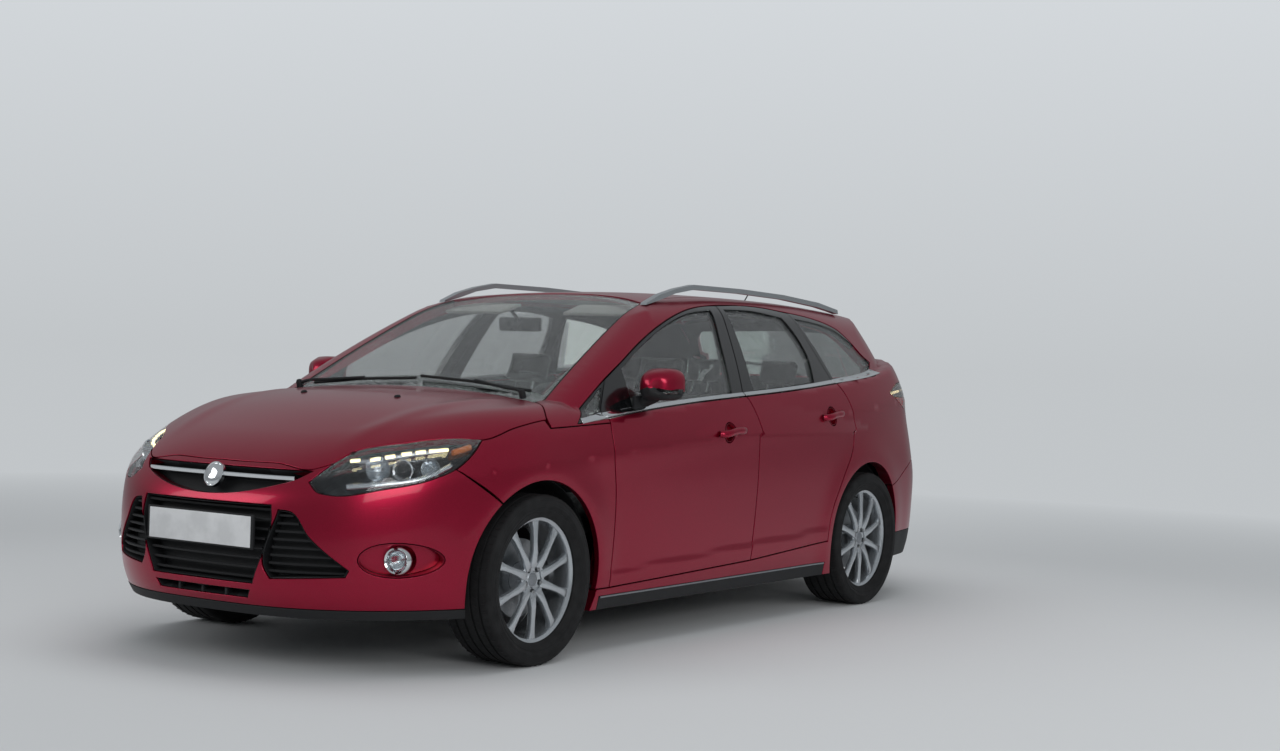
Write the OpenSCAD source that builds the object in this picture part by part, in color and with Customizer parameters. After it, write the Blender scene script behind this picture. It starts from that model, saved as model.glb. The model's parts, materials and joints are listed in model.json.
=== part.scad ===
// Station wagon: an assembly of separate pieces, in millimetres.
// Origin on the ground under the middle of the car, +X forward, +Y left, +Z up.

/* [Overall] */
// Length over the bumpers
car_l = 4556; // [3900:2:5500]
// Width over the body sides, without the mirrors
car_w = 1823; // [1640:1:2190]
// Height of the roof skin above the ground
roof_h = 1476; // [1300:1:1700]
// Distance between the two axles
wheelbase = 2648; // [2500:2:2760]
// Distance from the front bumper to the front axle
front_overhang = 892; // [820:1:980]

/* [Wheels] */
// Distance between the middles of the left and right tyres
track = 1560; // [1480:1:1600]
// Outer diameter of a tyre
tyre_d = 645; // [540:1:680]
// Width of a tyre
tyre_w = 225; // [180:1:240]
// Diameter of a rim over its lips
rim_d = 506; // [430:1:530]
// Radius of a wheel arch in the body side
arch_r = 368; // [350:1:400]

/* [Panels] */
// Thickness of a door below its window
door_t = 105; // [70:1:130]
// Thickness of the window frames, roof and bonnet
frame_t = 34; // [24:1:45]
// Thickness of a bumper cover
bumper_t = 36; // [24:1:50]
// Thickness of the window glass
glass_t = 5; // [4:0.5:8]
// Width of the gap between neighbouring panels
shut_gap = 6; // [5.5:0.5:8]

/* [Cabin] */
// Height of the cabin floor above the ground
floor_z = 270; // [250:1:300]
// Width of a front seat
seat_w = 520; // [440:1:540]
// Outer diameter of the steering wheel
steering_wheel_d = 370; // [330:1:400]

/* [Hidden] */

// Nominal sizes that the fair curves below are drawn at
nominal = [4556, 1823, 1476];
grow = [car_l / nominal.x, car_w / nominal.y, roof_h / nominal.z];
front_axle = car_l / 2 - front_overhang;
rear_axle = front_axle - wheelbase;
wheel_z = tyre_d / 2;
wheel_y = track / 2;
arch_z = wheel_z + 5;
spindle_r = 28;
spindle_fit = 0.05;
kingpin_y = wheel_y - 25;

// ---- fair curves: natural cubic splines through a few points ----

function sweep(h, g, i, acc) =
    i >= len(h) ? acc :
    let (q = acc[i - 1], b = 2 * (h[i - 1] + h[i]) - h[i - 1] * q[0])
    sweep(h, g, i + 1, concat(acc, [[h[i] / b, (6 * (g[i] - g[i - 1]) - h[i - 1] * q[1]) / b]]));
function unwind(f, i, acc) =
    i < 0 ? acc : unwind(f, i - 1, concat([f[i][1] - f[i][0] * acc[0]], acc));
function fair(p) =
    let (n = len(p) - 1,
         h = [for (i = [0:n - 1]) p[i + 1].x - p[i].x],
         g = [for (i = [0:n - 1]) (p[i + 1].y - p[i].y) / h[i]],
         m = unwind(sweep(h, g, 1, [[0, 0]]), n - 1, [0]))
    [for (i = [0:n]) [p[i].x, p[i].y, m[i]]];
function span_of(c, q, i) = (i >= len(c) - 2 || q < c[i + 1].x) ? i : span_of(c, q, i + 1);
function at(c, q) =
    let (i = span_of(c, q, 0), p = c[i], r = c[i + 1], h = r.x - p.x)
    q < c[0].x ? p.y + (q - p.x) * ((r.y - p.y) / h - h * (2 * p.z + r.z) / 6) :
    q > r.x ? r.y + (q - r.x) * ((r.y - p.y) / h + h * (p.z + 2 * r.z) / 6) :
    let (a = r.x - q, b = q - p.x)
    (p.z * a ^ 3 + r.z * b ^ 3) / (6 * h) + (p.y / h - p.z * h / 6) * a + (r.y / h - r.z * h / 6) * b;

// Half width by height, below the shoulder line
flank = fair([[150, 856], [250, 874], [400, 887], [550, 894], [700, 900], [820, 902]]);
// How far the flank draws in along the car
plan_in = fair([[-2300, 160], [-1900, 76], [-1500, 22], [-1000, 3], [-300, 0], [500, 0],
                [1000, 6], [1500, 24], [2000, 52]]);
// How far the shoulder draws in on top of that towards the tail
tail_in = fair([[-2300, 70], [-1900, 46], [-1500, 26], [-1100, 8], [-600, 0], [0, 0], [2300, 0]]);
// Profile of the nose and of the tail on the centreline
nose = fair([[180, 2205], [260, 2252], [360, 2275], [480, 2278], [600, 2266], [700, 2232],
             [760, 2190], [900, 2020]]);
tail = fair([[180, -2215], [260, -2255], [400, -2276], [520, -2278], [620, -2262], [700, -2228],
             [800, -2215], [900, -2200], [1000, -2170], [1100, -2118], [1200, -2050],
             [1300, -1975], [1400, -1900], [1480, -1840]]);
// Bonnet, windscreen and roof on the centreline
hood = fair([[1000, 1040], [1139, 1026], [1300, 1012], [1518, 988], [1700, 950], [1900, 884],
             [2050, 822], [2150, 772], [2250, 710]]);
screen = fair([[200, 1478], [330, 1425], [600, 1302], [900, 1150], [1150, 1012], [1300, 925]]);
roof = fair([[-2050, 1385], [-1900, 1410], [-1400, 1452], [-900, 1472], [-400, 1476],
             [0, 1462], [330, 1428]]);
// Waist line under the side windows, and how far the glass draws in along the car
waist = fair([[-1700, 1166], [-1459, 1126], [-932, 1077], [-750, 1061], [0, 1009], [903, 931],
              [1141, 900]]);
glass_in = fair([[-2100, 270], [-1800, 185], [-1600, 135], [-1300, 66], [-900, 18], [-400, 0],
                 [100, 2], [500, 14], [900, 38], [1250, 70]]);

function clamp01(k) = min(max(k, 0), 1);
function smooth(k) = let (c = clamp01(k)) c * c * (3 - 2 * c);
function bulge(d, w) = exp(-(d / w) ^ 2);
// Distance to two faces that meet in a round of radius r
function rounded(a, b, r, k) = (max(a + r, 0) ^ k + max(b + r, 0) ^ k) ^ (1 / k) - r;

function flank_y(x, z) =
    let (crease = 861 - 0.0763 * x,
         t = z - crease,
         up = max(t, 0),
         rf = norm([x - front_axle / grow.x, z - 325]),
         rr = norm([x - rear_axle / grow.x, z - 325]))
    (t < 0 ? at(flank, z) : 902) - 0.001 * up ^ 2 - 0.09 * up + 4 * bulge(t, 70) - at(plan_in, x)
    - at(tail_in, x) * smooth((z - 640) / 360) + 9 * bulge(rf - 385, 85) + 9 * bulge(rr - 385, 85);
function glass_y(x, z) =
    let (t = (z - at(waist, x)) / 400) 866 - 165 * t - 62 * t ^ 2 - at(glass_in, x);
// Below nought inside the lower body, and the same for the cabin above it
function lower_body(x, y, z) =
    let (side = abs(y) - flank_y(x, z),
         front = x - (at(nose, z) - 0.00018 * y ^ 2),
         rear = at(tail, z) + 0.00012 * y ^ 2 - x,
         d = max(rounded(side, front, 650, 2.5), rounded(side, rear, 420, 2.5)),
         k = smooth((x - 900) / 250),
         cap = k * (at(hood, x) - 0.00008 * y ^ 2) + (1 - k) * (at(waist, x) + 6))
    rounded(d, (z - cap) * 0.95, 22 + 88 * k, 2.3);
function upper_body(x, y, z) =
    let (side = (abs(y) - glass_y(x, z)) * 0.9,
         top = z - (at(roof, x) - 0.00007 * y ^ 2),
         glass = (z - (at(screen, x) - 0.00009 * y ^ 2)) * 0.9,
         rear = at(tail, z) + 0.0003 * y ^ 2 - x)
    max(rounded(side, top, 90, 2.3), rounded(side, glass, 60, 2.3),
        rounded(side, rear, 330, 2.3), rounded(top, glass, 60, 2.2));
function car(p) =
    let (low = lower_body(p.x, p.y, p.z)) p.z < 850 ? low : min(low, upper_body(p.x, p.y, p.z));

// The point where a line from p, inside, along v leaves the body
function leave(p, v, lo, hi, n) =
    let (m = (lo + hi) / 2)
    n == 0 ? p + v * m : car(p + v * m) < 0 ? leave(p, v, m, hi, n - 1) : leave(p, v, lo, m, n - 1);
function on_side(x, z) = leave([x, 0, z], [0, 1, 0], 300, 960, 13);
function on_top(x, y) = leave([x, y, 0], [0, 0, 1], 600, 1600, 14);
function on_rear(y, z) = leave([0, y, z], [-1, 0, 0], 1300, 2400, 14);
function on_ring(cx, a, z) = leave([cx, 0, z], [cos(a), sin(a), 0], 300, 1200, 14);
function real(p) = [p.x * grow.x, p.y * grow.y, p.z * grow.z];

// A closed shell between two grids of points of the same size
module shell(outer, inner) {
    n = len(outer) - 1;
    m = len(outer[0]) - 1;
    s = (n + 1) * (m + 1);
    a = function (i, j) i * (m + 1) + j;
    b = function (i, j) s + i * (m + 1) + j;
    quads = [
        for (i = [0:n - 1], j = [0:m - 1]) [a(i, j), a(i, j + 1), a(i + 1, j + 1), a(i + 1, j)],
        for (i = [0:n - 1], j = [0:m - 1]) [b(i, j), b(i + 1, j), b(i + 1, j + 1), b(i, j + 1)],
        for (j = [0:m - 1]) [a(0, j + 1), a(0, j), b(0, j), b(0, j + 1)],
        for (j = [0:m - 1]) [a(n, j), a(n, j + 1), b(n, j + 1), b(n, j)],
        for (i = [0:n - 1]) [a(i, 0), a(i + 1, 0), b(i + 1, 0), b(i, 0)],
        for (i = [0:n - 1]) [a(i + 1, m), a(i, m), b(i, m), b(i + 1, m)]];
    polyhedron(points = [for (row = outer, p = row) p, for (row = inner, p = row) p],
               faces = [for (q = quads) each [[q[0], q[1], q[2]], [q[0], q[2], q[3]]]]);
}

// Edge between the body side and the roof or windscreen, by station
function gutter_y(x) = x > 262 ? 556 + (x - 262) * 0.16 : 556 - 0.000012 * min(x + 300, 0) ^ 2;
// Shell of the car's left side: rows up the side, stations along it
module side_shell(x0, x1, step, depth, thick_low, thick_high, z0 = 165, rows = 9, up = 8) {
    stations = [for (x = [x0:step:x1 + step / 2]) min(x, x1)];
    lift = function (x) at(waist, x) - 30;
    levels = function (x) concat(
        [for (k = [0:rows - 1]) z0 + (lift(x) - z0) * k / (rows - 1)],
        up == 0 ? [lift(x) + 30] :
        let (top = on_top(x, gutter_y(x)).z) [for (k = [1:up]) lift(x) + (top - lift(x)) * k / up]);
    pts = [for (k = [0:rows + (up == 0 ? 0 : up - 1)])
           [for (x = stations) let (z = levels(x)[k], p = on_side(x, z)) [real(p), k]]];
    into = function (k) let (a = k < rows ? 0 : 62 * (k - rows) / max(up - 1, 1)) [0, cos(a), sin(a)];
    thick = function (k) k < rows - 1 ? thick_low : thick_high;
    deep = function (k) k < rows - 1 ? depth[0] : depth[1];
    shell([for (row = pts) [for (q = row) q[0] - into(q[1]) * deep(q[1])]],
          [for (row = pts) [for (q = row) q[0] - into(q[1]) * (deep(q[1]) + thick(q[1]))]]);
}
// Shell over the top: stations along x, rows across
module top_shell(x0, x1, nx, y1, ny, depth, thick) {
    pts = [for (i = [0:nx]) [for (j = [-ny:ny])
           real(on_top(x0 + (x1 - x0) * i / nx, y1 * j / ny))]];
    shell([for (r = pts) [for (p = r) p - [0, 0, depth]]],
          [for (r = pts) [for (p = r) p - [0, 0, depth + thick]]]);
}
// Shell round the nose or the tail, on rays from a point cx on the centreline
module ring_shell(cx, a0, a1, na, z0, z1, nz, depth, thick) {
    ray = function (i) a0 + (a1 - a0) * i / na;
    pts = [for (i = [0:na]) [for (j = [0:nz]) real(on_ring(cx, ray(i), z0 + (z1 - z0) * j / nz))]];
    dir = function (i) [cos(ray(i)), sin(ray(i)), 0];
    shell([for (i = [0:na]) [for (p = pts[i]) p - dir(i) * depth]],
          [for (i = [0:na]) [for (p = pts[i]) p - dir(i) * (depth + thick)]]);
}
// Shell of the back of the car: rows across, levels up
module rear_shell(y1, ny, z0, z1, nz, depth, thick) {
    pts = [for (j = [0:nz]) [for (i = [-ny:ny])
           real(on_rear(y1 * i / ny, z0 + (z1 - z0) * j / nz))]];
    shell([for (r = pts) [for (p = r) p + [depth, 0, 0]]],
          [for (r = pts) [for (p = r) p + [depth + thick, 0, 0]]]);
}

// An outline in the side view, and what draws it through the car from y0 to y1
module outline(points, grown = 0) {
    offset(delta = grown) polygon([for (p = points) [p.x * grow.x, p.y * grow.z]]);
}
module wheel_gap(axle, r) { translate([axle, arch_z]) circle(r = r, $fn = 72); }
module sideways(y0 = 300, y1 = 1100) {
    rotate([90, 0, 0]) translate([0, 0, -y1]) linear_extrude(y1 - y0) children();
}
// An outline in the top view, drawn from z0 to z1
module from_top(points, z0, z1, grown = 0) {
    translate([0, 0, z0])
        linear_extrude(z1 - z0) offset(delta = grown)
            polygon([for (p = points) [p.x * grow.x, p.y * grow.y]]);
}
// An outline in the end view, drawn from x0 to x1
module from_end(points, x0, x1, grown = 0) {
    translate([x0, 0, 0])
        rotate([90, 0, 90])
            linear_extrude(x1 - x0) offset(delta = grown)
                polygon([for (p = points) [p.x * grow.y, p.y * grow.z]]);
}
// An outline of points on the body, drawn along a level line at an angle to the car
module from_corner(points, angle, reach, grown = 0) {
    rotate([0, 0, angle])
        translate([reach[0], 0, 0])
            rotate([90, 0, 90])
                linear_extrude(reach[1] - reach[0]) offset(delta = grown)
                    polygon([for (p = points) let (q = real(p))
                             [q.y * cos(angle) - q.x * sin(angle), q.z]]);
}
module both_sides() {
    children();
    mirror([0, 1, 0]) children();
}
// One closed mesh from shells and the outlines that cut them
module cut_skin() {
    resize([0, 0, 0]) children();
}
function across(p) = [for (i = [len(p) - 1:-1:0]) [p[i].x, -p[i].y]];

// ---- outlines, in nominal millimetres ----

function arc(c, r, a0, a1, n) = [for (k = [0:n]) let (a = a0 + (a1 - a0) * k / n) c + r * [cos(a), sin(a)]];
rear_arch = [rear_axle / grow.x, arch_z / grow.z];
// Shut lines, from the sill up
front_shut = [[929, 258], [925, 650], [950, 786], [950, 880], [936, 950], [892, 1020], [850, 1076]];
centre_shut = [[-150, 292], [-165, 470], [-170, 719], [-155, 885], [-138, 946], [-112, 1000],
               [-79, 1032], [-161, 1294], [-207, 1416]];
rear_shut = [[-975, 639], [-1070, 785], [-1052, 951], [-1000, 1030], [-932, 1097], [-867, 1218],
             [-804, 1406]];
// Top edge of the doors along the cant rail
rail_front = [[850, 1076], [710, 1146], [535, 1231], [371, 1298], [202, 1353], [33, 1392], [-126, 1412],
              [-207, 1416]];
rail_rear = [[-207, 1416], [-415, 1426], [-600, 1423], [-804, 1406]];
door_front = concat(front_shut, [for (k = [1:6]) rail_front[k]],
                    [for (k = [len(centre_shut) - 1:-1:0]) centre_shut[k]]);
door_rear = concat(centre_shut, [rail_rear[1], rail_rear[2]],
                   [for (k = [len(rear_shut) - 1:-1:0]) rear_shut[k]],
                   arc(rear_arch, 410, 28, 1, 4));
door_pair = concat(front_shut, [for (k = [1:6]) rail_front[k]], [rail_rear[1], rail_rear[2]],
                   [for (k = [len(rear_shut) - 1:-1:0]) rear_shut[k]], arc(rear_arch, 410, 28, 1, 4),
                   [centre_shut[0]]);
glass_front = [[735, 962], [718, 1119], [556, 1203], [392, 1273], [227, 1331], [64, 1371], [-123, 1392],
               [-47, 1218], [10, 1031]];
glass_rear = [[-242, 1400], [-175, 1044], [-745, 1084], [-777, 1211], [-754, 1300], [-705, 1380],
              [-480, 1402]];
glass_fixed = [[-832, 1380], [-955, 1104], [-1459, 1147], [-1537, 1176], [-1440, 1240], [-1309, 1298],
               [-1221, 1331], [-1081, 1357]];
quarterlight = [[1066, 930], [884, 1048], [946, 952]];
wing_outline = [[929, 258], [925, 650], [950, 786], [950, 926], [1141, 898], [1310, 890], [1312, 1000],
                [1700, 1000], [1820, 800], [1798, 744], [1600, 607], [1386, 330], [1300, 258]];
bumper_outline = [[1600, 607], [1798, 744], [1900, 742], [2400, 742], [2400, 150], [1600, 150]];
bonnet_half = [[1165, 0], [1172, 300], [1190, 560], [1215, 720], [1300, 822], [1480, 812], [1646, 792],
               [1750, 724], [1877, 631], [2017, 502], [2087, 472], [2130, 425], [2150, 250], [2162, 75],
               [2162, 0]];
headlamp = [[2170, 433, 690], [2087, 474, 758], [2017, 504, 797], [1877, 633, 834], [1750, 726, 853],
            [1646, 792, 853], [1701, 807, 812], [1799, 802, 748], [1898, 763, 708], [2035, 666, 674],
            [2154, 523, 648], [2174, 477, 657]];
tail_lamp = [[-1560, 850, 1040], [-1680, 826, 1082], [-1900, 745, 1088], [-2060, 640, 1080],
             [-2120, 600, 1070], [-2185, 600, 870], [-2150, 690, 850], [-2050, 775, 860],
             [-1880, 806, 930], [-1700, 845, 985]];
windscreen_half = [[1139, 0], [1150, 300], [1168, 560], [1180, 675], [262, 530], [205, 400], [152, 200],
                   [135, 0]];
roof_half = [[120, 0], [137, 200], [190, 400], [245, 532], [-300, 536], [-900, 532], [-1400, 521],
             [-1700, 512], [-1700, 0]];
tailgate_half = [[0, 708], [545, 708], [572, 770], [574, 900], [570, 1085], [553, 1200], [541, 1300],
                 [536, 1500], [0, 1500]];
rear_window_half = [[0, 1105], [500, 1105], [525, 1120], [505, 1210], [475, 1320], [450, 1350], [0, 1362]];
lower_grille = [[-322, 604], [322, 604], [330, 560], [256, 322], [-256, 322], [-330, 560]];
side_grille = [[352, 590], [400, 585], [470, 500], [590, 385], [580, 362], [330, 345], [312, 370]];
upper_slot = [[-425, 728], [425, 728], [385, 700], [300, 672], [-300, 672], [-385, 700]];
low_intake = [[-240, 296], [240, 296], [225, 268], [-225, 268]];
fog_place = [2008, 706, 423];
tow_eye = [520, 560];
tow_cover = [for (c = [[-23, -23], [23, -23], [23, 23], [-23, 23]]) tow_eye + c];
rear_bumper_top = [[-1500, 560], [-1640, 600], [-1800, 668], [-1950, 700], [-2400, 700], [-2400, 150],
                   [-1500, 150]];
function mirrored(half) =
    concat(half, [for (k = [len(half) - 1:-1:0]) if (half[k].y != 0) [half[k].x, -half[k].y]]);
function mirrored_end(half) =
    concat(half, [for (k = [len(half) - 1:-1:0]) if (half[k].x != 0) [-half[k].x, half[k].y]]);

module bonnet_prism(grown) { from_top(mirrored(bonnet_half), 600, 1300, grown); }
module tailgate_prism(grown) { from_end(mirrored_end(tailgate_half), -2500, -1706 + grown, grown); }
module headlamp_prism(grown) { from_corner(headlamp, 38, [1400, 2400], grown); }
module tail_lamp_prism(grown) { from_corner(tail_lamp, 140, [1300, 2500], grown); }
module arch_cut(axle, r) {
    translate([axle, 0, arch_z]) rotate([90, 0, 0]) cylinder(r = r, h = 2200, center = true, $fn = 72);
}

// ---- painted panels ----

body_paint = "#8a1030";
dark_trim = "#1d1e20";
module outer_side() {
    difference() {
        intersection() {
            union() {
                side_shell(-1621, 1327, 109, [0, 0], 60, 52, 172);
                intersection() {
                    ring_shell(-1400, 98, 168, 9, 640, 1425, 9, 0, 60);
                    translate([-2500 * grow.x, 300, 0]) cube([880.5 * grow.x, 800, 1900]);
                }
            }
            sideways() difference() {
                translate([-2400 * grow.x, 100]) square([3688 * grow.x, 1800]);
                outline(door_pair, shut_gap / 2);
                outline(glass_fixed);
                outline(quarterlight);
                outline(wing_outline, shut_gap / 2);
                outline(rear_bumper_top, shut_gap / 2);
                wheel_gap(rear_axle, arch_r);
                wheel_gap(front_axle, arch_r + 16);
            }
        }
        tail_lamp_prism(shut_gap / 2);
        tailgate_prism(shut_gap + 1);
        bonnet_prism(shut_gap);
        from_top(mirrored(roof_half), 900, 2000, 4);
    }
}
sill_inner = [[1000, 169], [1000, 246], [-846, 320], [-846, 169]];
centre_pillar = [[-70, 290], [-90, 900], [-30, 1030], [-130, 1320], [-150, 1450], [-290, 1450],
                 [-270, 1300], [-160, 1030], [-235, 900], [-245, 290]];
hinge_pillar = [[872, 290], [872, 880], [990, 880], [990, 290]];
module inner_side() {
    intersection() {
        side_shell(-1100, 1010, 300, [55, 55], door_t - 50, door_t - 50, 165, 9, 0);
        sideways() difference() {
            outline(sill_inner);
            wheel_gap(rear_axle, arch_r);
            wheel_gap(front_axle, arch_r + 16);
        }
    }
    // Centre pillar inboard of both doors, and hinge pillar inboard of the wing
    intersection() {
        side_shell(-330, 90, 70, [door_t + 8, frame_t + 8], 50, 34, 240, 9);
        sideways() outline(centre_pillar);
    }
    intersection() {
        side_shell(860, 1003, 71, [door_t + 8, door_t + 8], 45, 45, 181, 7, 0);
        sideways() difference() {
            outline(hinge_pillar);
            wheel_gap(front_axle, arch_r + 16);
        }
    }
}
module body_side() {
    color(body_paint) cut_skin() {
        outer_side();
        inner_side();
    }
}
module body_side_left() { body_side(); }
module body_side_right() { mirror([0, 1, 0]) body_side(); }
module roof_panel() {
    color(body_paint) cut_skin() intersection() {
        top_shell(-1708, 270, 16, 548, 5, 0, frame_t);
        from_top(mirrored(roof_half), 1000, 2000);
    }
}
module front_wings() {
    color(body_paint) both_sides() cut_skin() difference() {
        intersection() {
            side_shell(917, 1833, 61, [0, 0], 26, 26, 203, 10, 0);
            sideways() difference() {
                outline(wing_outline, -shut_gap / 2);
                wheel_gap(front_axle, arch_r);
            }
        }
        bonnet_prism(shut_gap);
        headlamp_prism(shut_gap / 2);
    }
}
module front_bumper() {
    color(body_paint) cut_skin() difference() {
        intersection() {
            ring_shell(1250, -66, 66, 26, 205, 745, 8, 0, bumper_t);
            sideways(-1100, 1100) difference() {
                outline(bumper_outline, -shut_gap / 2);
                wheel_gap(front_axle, arch_r);
            }
        }
        both_sides() headlamp_prism(shut_gap / 2);
        both_sides() from_end(side_grille, 1500, 2500);
        both_sides() fog_prism(0);
        from_end(lower_grille, 1500, 2500);
        from_end(upper_slot, 1500, 2500);
        from_end(low_intake, 1500, 2500);
        from_end(tow_cover, 1500, 2500);
    }
}
module fog_prism(extra) {
    translate([1500, fog_place.y * grow.y, fog_place.z * grow.z])
        rotate([0, 90, 0]) cylinder(r = 58 + extra, h = 1000, $fn = 40);
}
module grilles() {
    color(dark_trim) cut_skin() difference() {
        intersection() {
            ring_shell(1250, -44, 44, 18, 240, 742, 6, bumper_t + 3, 14);
            union() {
                from_end(lower_grille, 1500, 2500, 8);
                from_end(upper_slot, 1500, 2500, 8);
                from_end(low_intake, 1500, 2500, 8);
                both_sides() from_end(side_grille, 1500, 2500, 8);
            }
        }
        both_sides() headlamp_prism(shut_gap);
    }
}
module headlamps() {
    color("#c9ced2") both_sides() cut_skin() difference() {
        intersection() {
            ring_shell(1250, 4, 62, 12, 620, 862, 5, 1, 110);
            headlamp_prism(-shut_gap / 2);
        }
        arch_cut(front_axle, arch_r + 26);
    }
}
module fog_lamps() {
    color("silver") both_sides()
        translate([(fog_place.x - 78) * grow.x, fog_place.y * grow.y, fog_place.z * grow.z])
            rotate([0, 90, 0]) cylinder(r = 54, h = 62, $fn = 40);
}
module tail_lamps() {
    color("#7d1420") both_sides() cut_skin() difference() {
        intersection() {
            ring_shell(-1400, 100, 160, 10, 840, 1100, 5, 1, 60);
            tail_lamp_prism(-shut_gap / 2);
        }
        tailgate_prism(shut_gap + 1);
    }
}
module rear_bumper() {
    color(body_paint) cut_skin() {
        intersection() {
            ring_shell(-1250, 108, 252, 22, 205, 700, 6, 0, bumper_t);
            sideways(-1100, 1100) difference() {
                outline(rear_bumper_top, -shut_gap / 2);
                wheel_gap(rear_axle, arch_r + 6);
            }
        }
    }
}

// ---- glass ----

module windscreen() {
    color("#27413c") cut_skin() intersection() {
        top_shell(130, 1190, 10, 690, 6, 1, glass_t);
        from_top(mirrored(windscreen_half), 800, 1700);
    }
}
module pane(points, x0, x1, step) {
    cut_skin() intersection() {
        side_shell(x0, x1, step, [9, 9], glass_t, glass_t, 880, 2, 6);
        sideways() outline(points);
    }
}
module fixed_side_glass() {
    color("#2c3c3a") both_sides() {
        pane(glass_fixed, -1560, -820, 106);
        pane(quarterlight, 860, 1080, 55);
    }
}
module door_glass(points, x0, x1) { color("#2c3c3a") pane(points, x0, x1, 100); }
module door_glass_front_left() { door_glass(glass_front, -140, 760); }
module door_glass_front_right() { mirror([0, 1, 0]) door_glass_front_left(); }
module door_glass_rear_left() { door_glass(glass_rear, -790, -160); }
module door_glass_rear_right() { mirror([0, 1, 0]) door_glass_rear_left(); }

// ---- doors, bonnet and tailgate ----

module door(edge, glass, x0, x1) {
    color(body_paint) cut_skin() {
        intersection() {
            side_shell(x0, x1, 95, [0, 0], door_t, frame_t, 240, 9);
            sideways() difference() {
                outline(edge, -shut_gap / 2);
                outline(glass);
            }
        }
    }
}
module door_front_left() { door(door_front, glass_front, -225, 970); }
module door_front_right() { mirror([0, 1, 0]) door_front_left(); }
module door_rear_left() { door(door_rear, glass_rear, -1090, -60); }
module door_rear_right() { mirror([0, 1, 0]) door_rear_left(); }
module bonnet() {
    color(body_paint) cut_skin() difference() {
        intersection() {
            top_shell(1160, 2172, 14, 832, 8, 0, frame_t);
            bonnet_prism(-shut_gap / 2);
        }
        both_sides() headlamp_prism(shut_gap);
        sideways(-1100, 1100) outline([[1900, 500], [1900, 742], [2400, 742], [2400, 500]], shut_gap / 2);
    }
}
module tailgate() {
    color(body_paint) cut_skin() difference() {
        intersection() {
            union() {
                rear_shell(620, 5, 700, 1400, 9, 0, 16);
                top_shell(-1890, -1700, 3, 560, 4, 0, 24);
                // The inner frame stands back from the edge, to swing out past the pillars
                intersection() {
                    rear_shell(620, 5, 700, 1400, 9, 15, 35);
                    tailgate_prism(-14);
                }
            }
            tailgate_prism(0);
        }
        from_end(mirrored_end(rear_window_half), -2500, -1706);
    }
}
module tailgate_glass() {
    color("#2c3c3a") cut_skin() intersection() {
        rear_shell(540, 4, 1080, 1380, 5, 6, glass_t);
        from_end(mirrored_end(rear_window_half), -2500, -1706);
    }
}

// ---- outside fittings ----

module roof_rails() {
    color("silver") both_sides() cut_skin() intersection() {
        sideways() outline([[290, 1398], [284, 1408], [180, 1448], [50, 1480], [-93, 1504], [-500, 1505],
                   [-900, 1496], [-1250, 1474], [-1452, 1446], [-1460, 1425], [-1380, 1436], [-1240, 1452],
                   [-900, 1474], [-500, 1483], [-93, 1482], [60, 1458], [180, 1424]]);
        translate([-1600, 548 * grow.y, 0]) cube([2000, 32, 2000]);
    }
}
module mirror_left() {
    color(body_paint) {
        // Foot on the door, and the housing that it carries
        hull() {
            translate([742 * grow.x, 854 * grow.y, 985 * grow.z]) sphere(r = 18, $fn = 12);
            translate([700 * grow.x, 885 * grow.y, 1000 * grow.z]) sphere(r = 18, $fn = 12);
        }
        hull() {
            translate([690 * grow.x, 860 * grow.y, 1025 * grow.z]) sphere(r = 26, $fn = 16);
            translate([690 * grow.x, 860 * grow.y, 1095 * grow.z]) sphere(r = 30, $fn = 16);
            translate([655 * grow.x, 972 * grow.y, 1030 * grow.z]) sphere(r = 26, $fn = 16);
            translate([660 * grow.x, 960 * grow.y, 1100 * grow.z]) sphere(r = 26, $fn = 16);
            translate([625 * grow.x, 900 * grow.y, 1060 * grow.z]) sphere(r = 40, $fn = 16);
        }
    }
}
module mirror_right() { mirror([0, 1, 0]) mirror_left(); }

// ---- wheels, knuckles and axles ----

module turned(side, axle) {
    translate([axle, side * wheel_y, wheel_z]) rotate([-90 * side, 0, 0]) children();
}
rim_r = rim_d / 2;
barrel_r = rim_r - 16;
half_w = tyre_w / 2;
module tyre(side, axle) {
    color("#1a1a1a") turned(side, axle) rotate_extrude($fn = 96)
        polygon([[barrel_r, -half_w + 24], [rim_r + 1, -half_w + 24], [rim_r + 7, -half_w + 12],
                 [rim_r + 26, -half_w],
                 [tyre_d / 2 - 24, -half_w + 2], [tyre_d / 2 - 5, -half_w + 10], [tyre_d / 2, -half_w + 24],
                 [tyre_d / 2, half_w - 24], [tyre_d / 2 - 5, half_w - 10], [tyre_d / 2 - 24, half_w - 2],
                 [rim_r + 26, half_w], [rim_r + 7, half_w - 12], [rim_r + 1, half_w - 24],
                 [barrel_r, half_w - 24]]);
}
module rim(side, axle) {
    color("silver") turned(side, axle) {
        rotate_extrude($fn = 96)
            polygon([[barrel_r - 8, -half_w + 13], [rim_r - 1, -half_w + 13], [rim_r - 1, -half_w + 22],
                     [barrel_r, -half_w + 23], [barrel_r, half_w - 23], [rim_r - 1, half_w - 22],
                     [rim_r - 1, half_w - 13], [barrel_r - 8, half_w - 13]]);
        difference() {
            union() {
                translate([0, 0, -32]) cylinder(r = 62, h = 112, $fn = 48);
                translate([0, 0, -22]) cylinder(r = 150, h = 24, $fn = 72);
            }
            translate([0, 0, -33]) cylinder(r = spindle_r + spindle_fit, h = 89, $fn = 72);
        }
        for (k = [0:9])
            rotate([0, 0, 36 * k]) translate([55, -15, 50]) cube([barrel_r - 60, 30, 24]);
    }
}
module tyre_front_left() { tyre(1, front_axle); }
module tyre_front_right() { tyre(-1, front_axle); }
module tyre_rear_left() { tyre(1, rear_axle); }
module tyre_rear_right() { tyre(-1, rear_axle); }
module rim_front_left() { rim(1, front_axle); }
module rim_front_right() { rim(-1, front_axle); }
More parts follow.
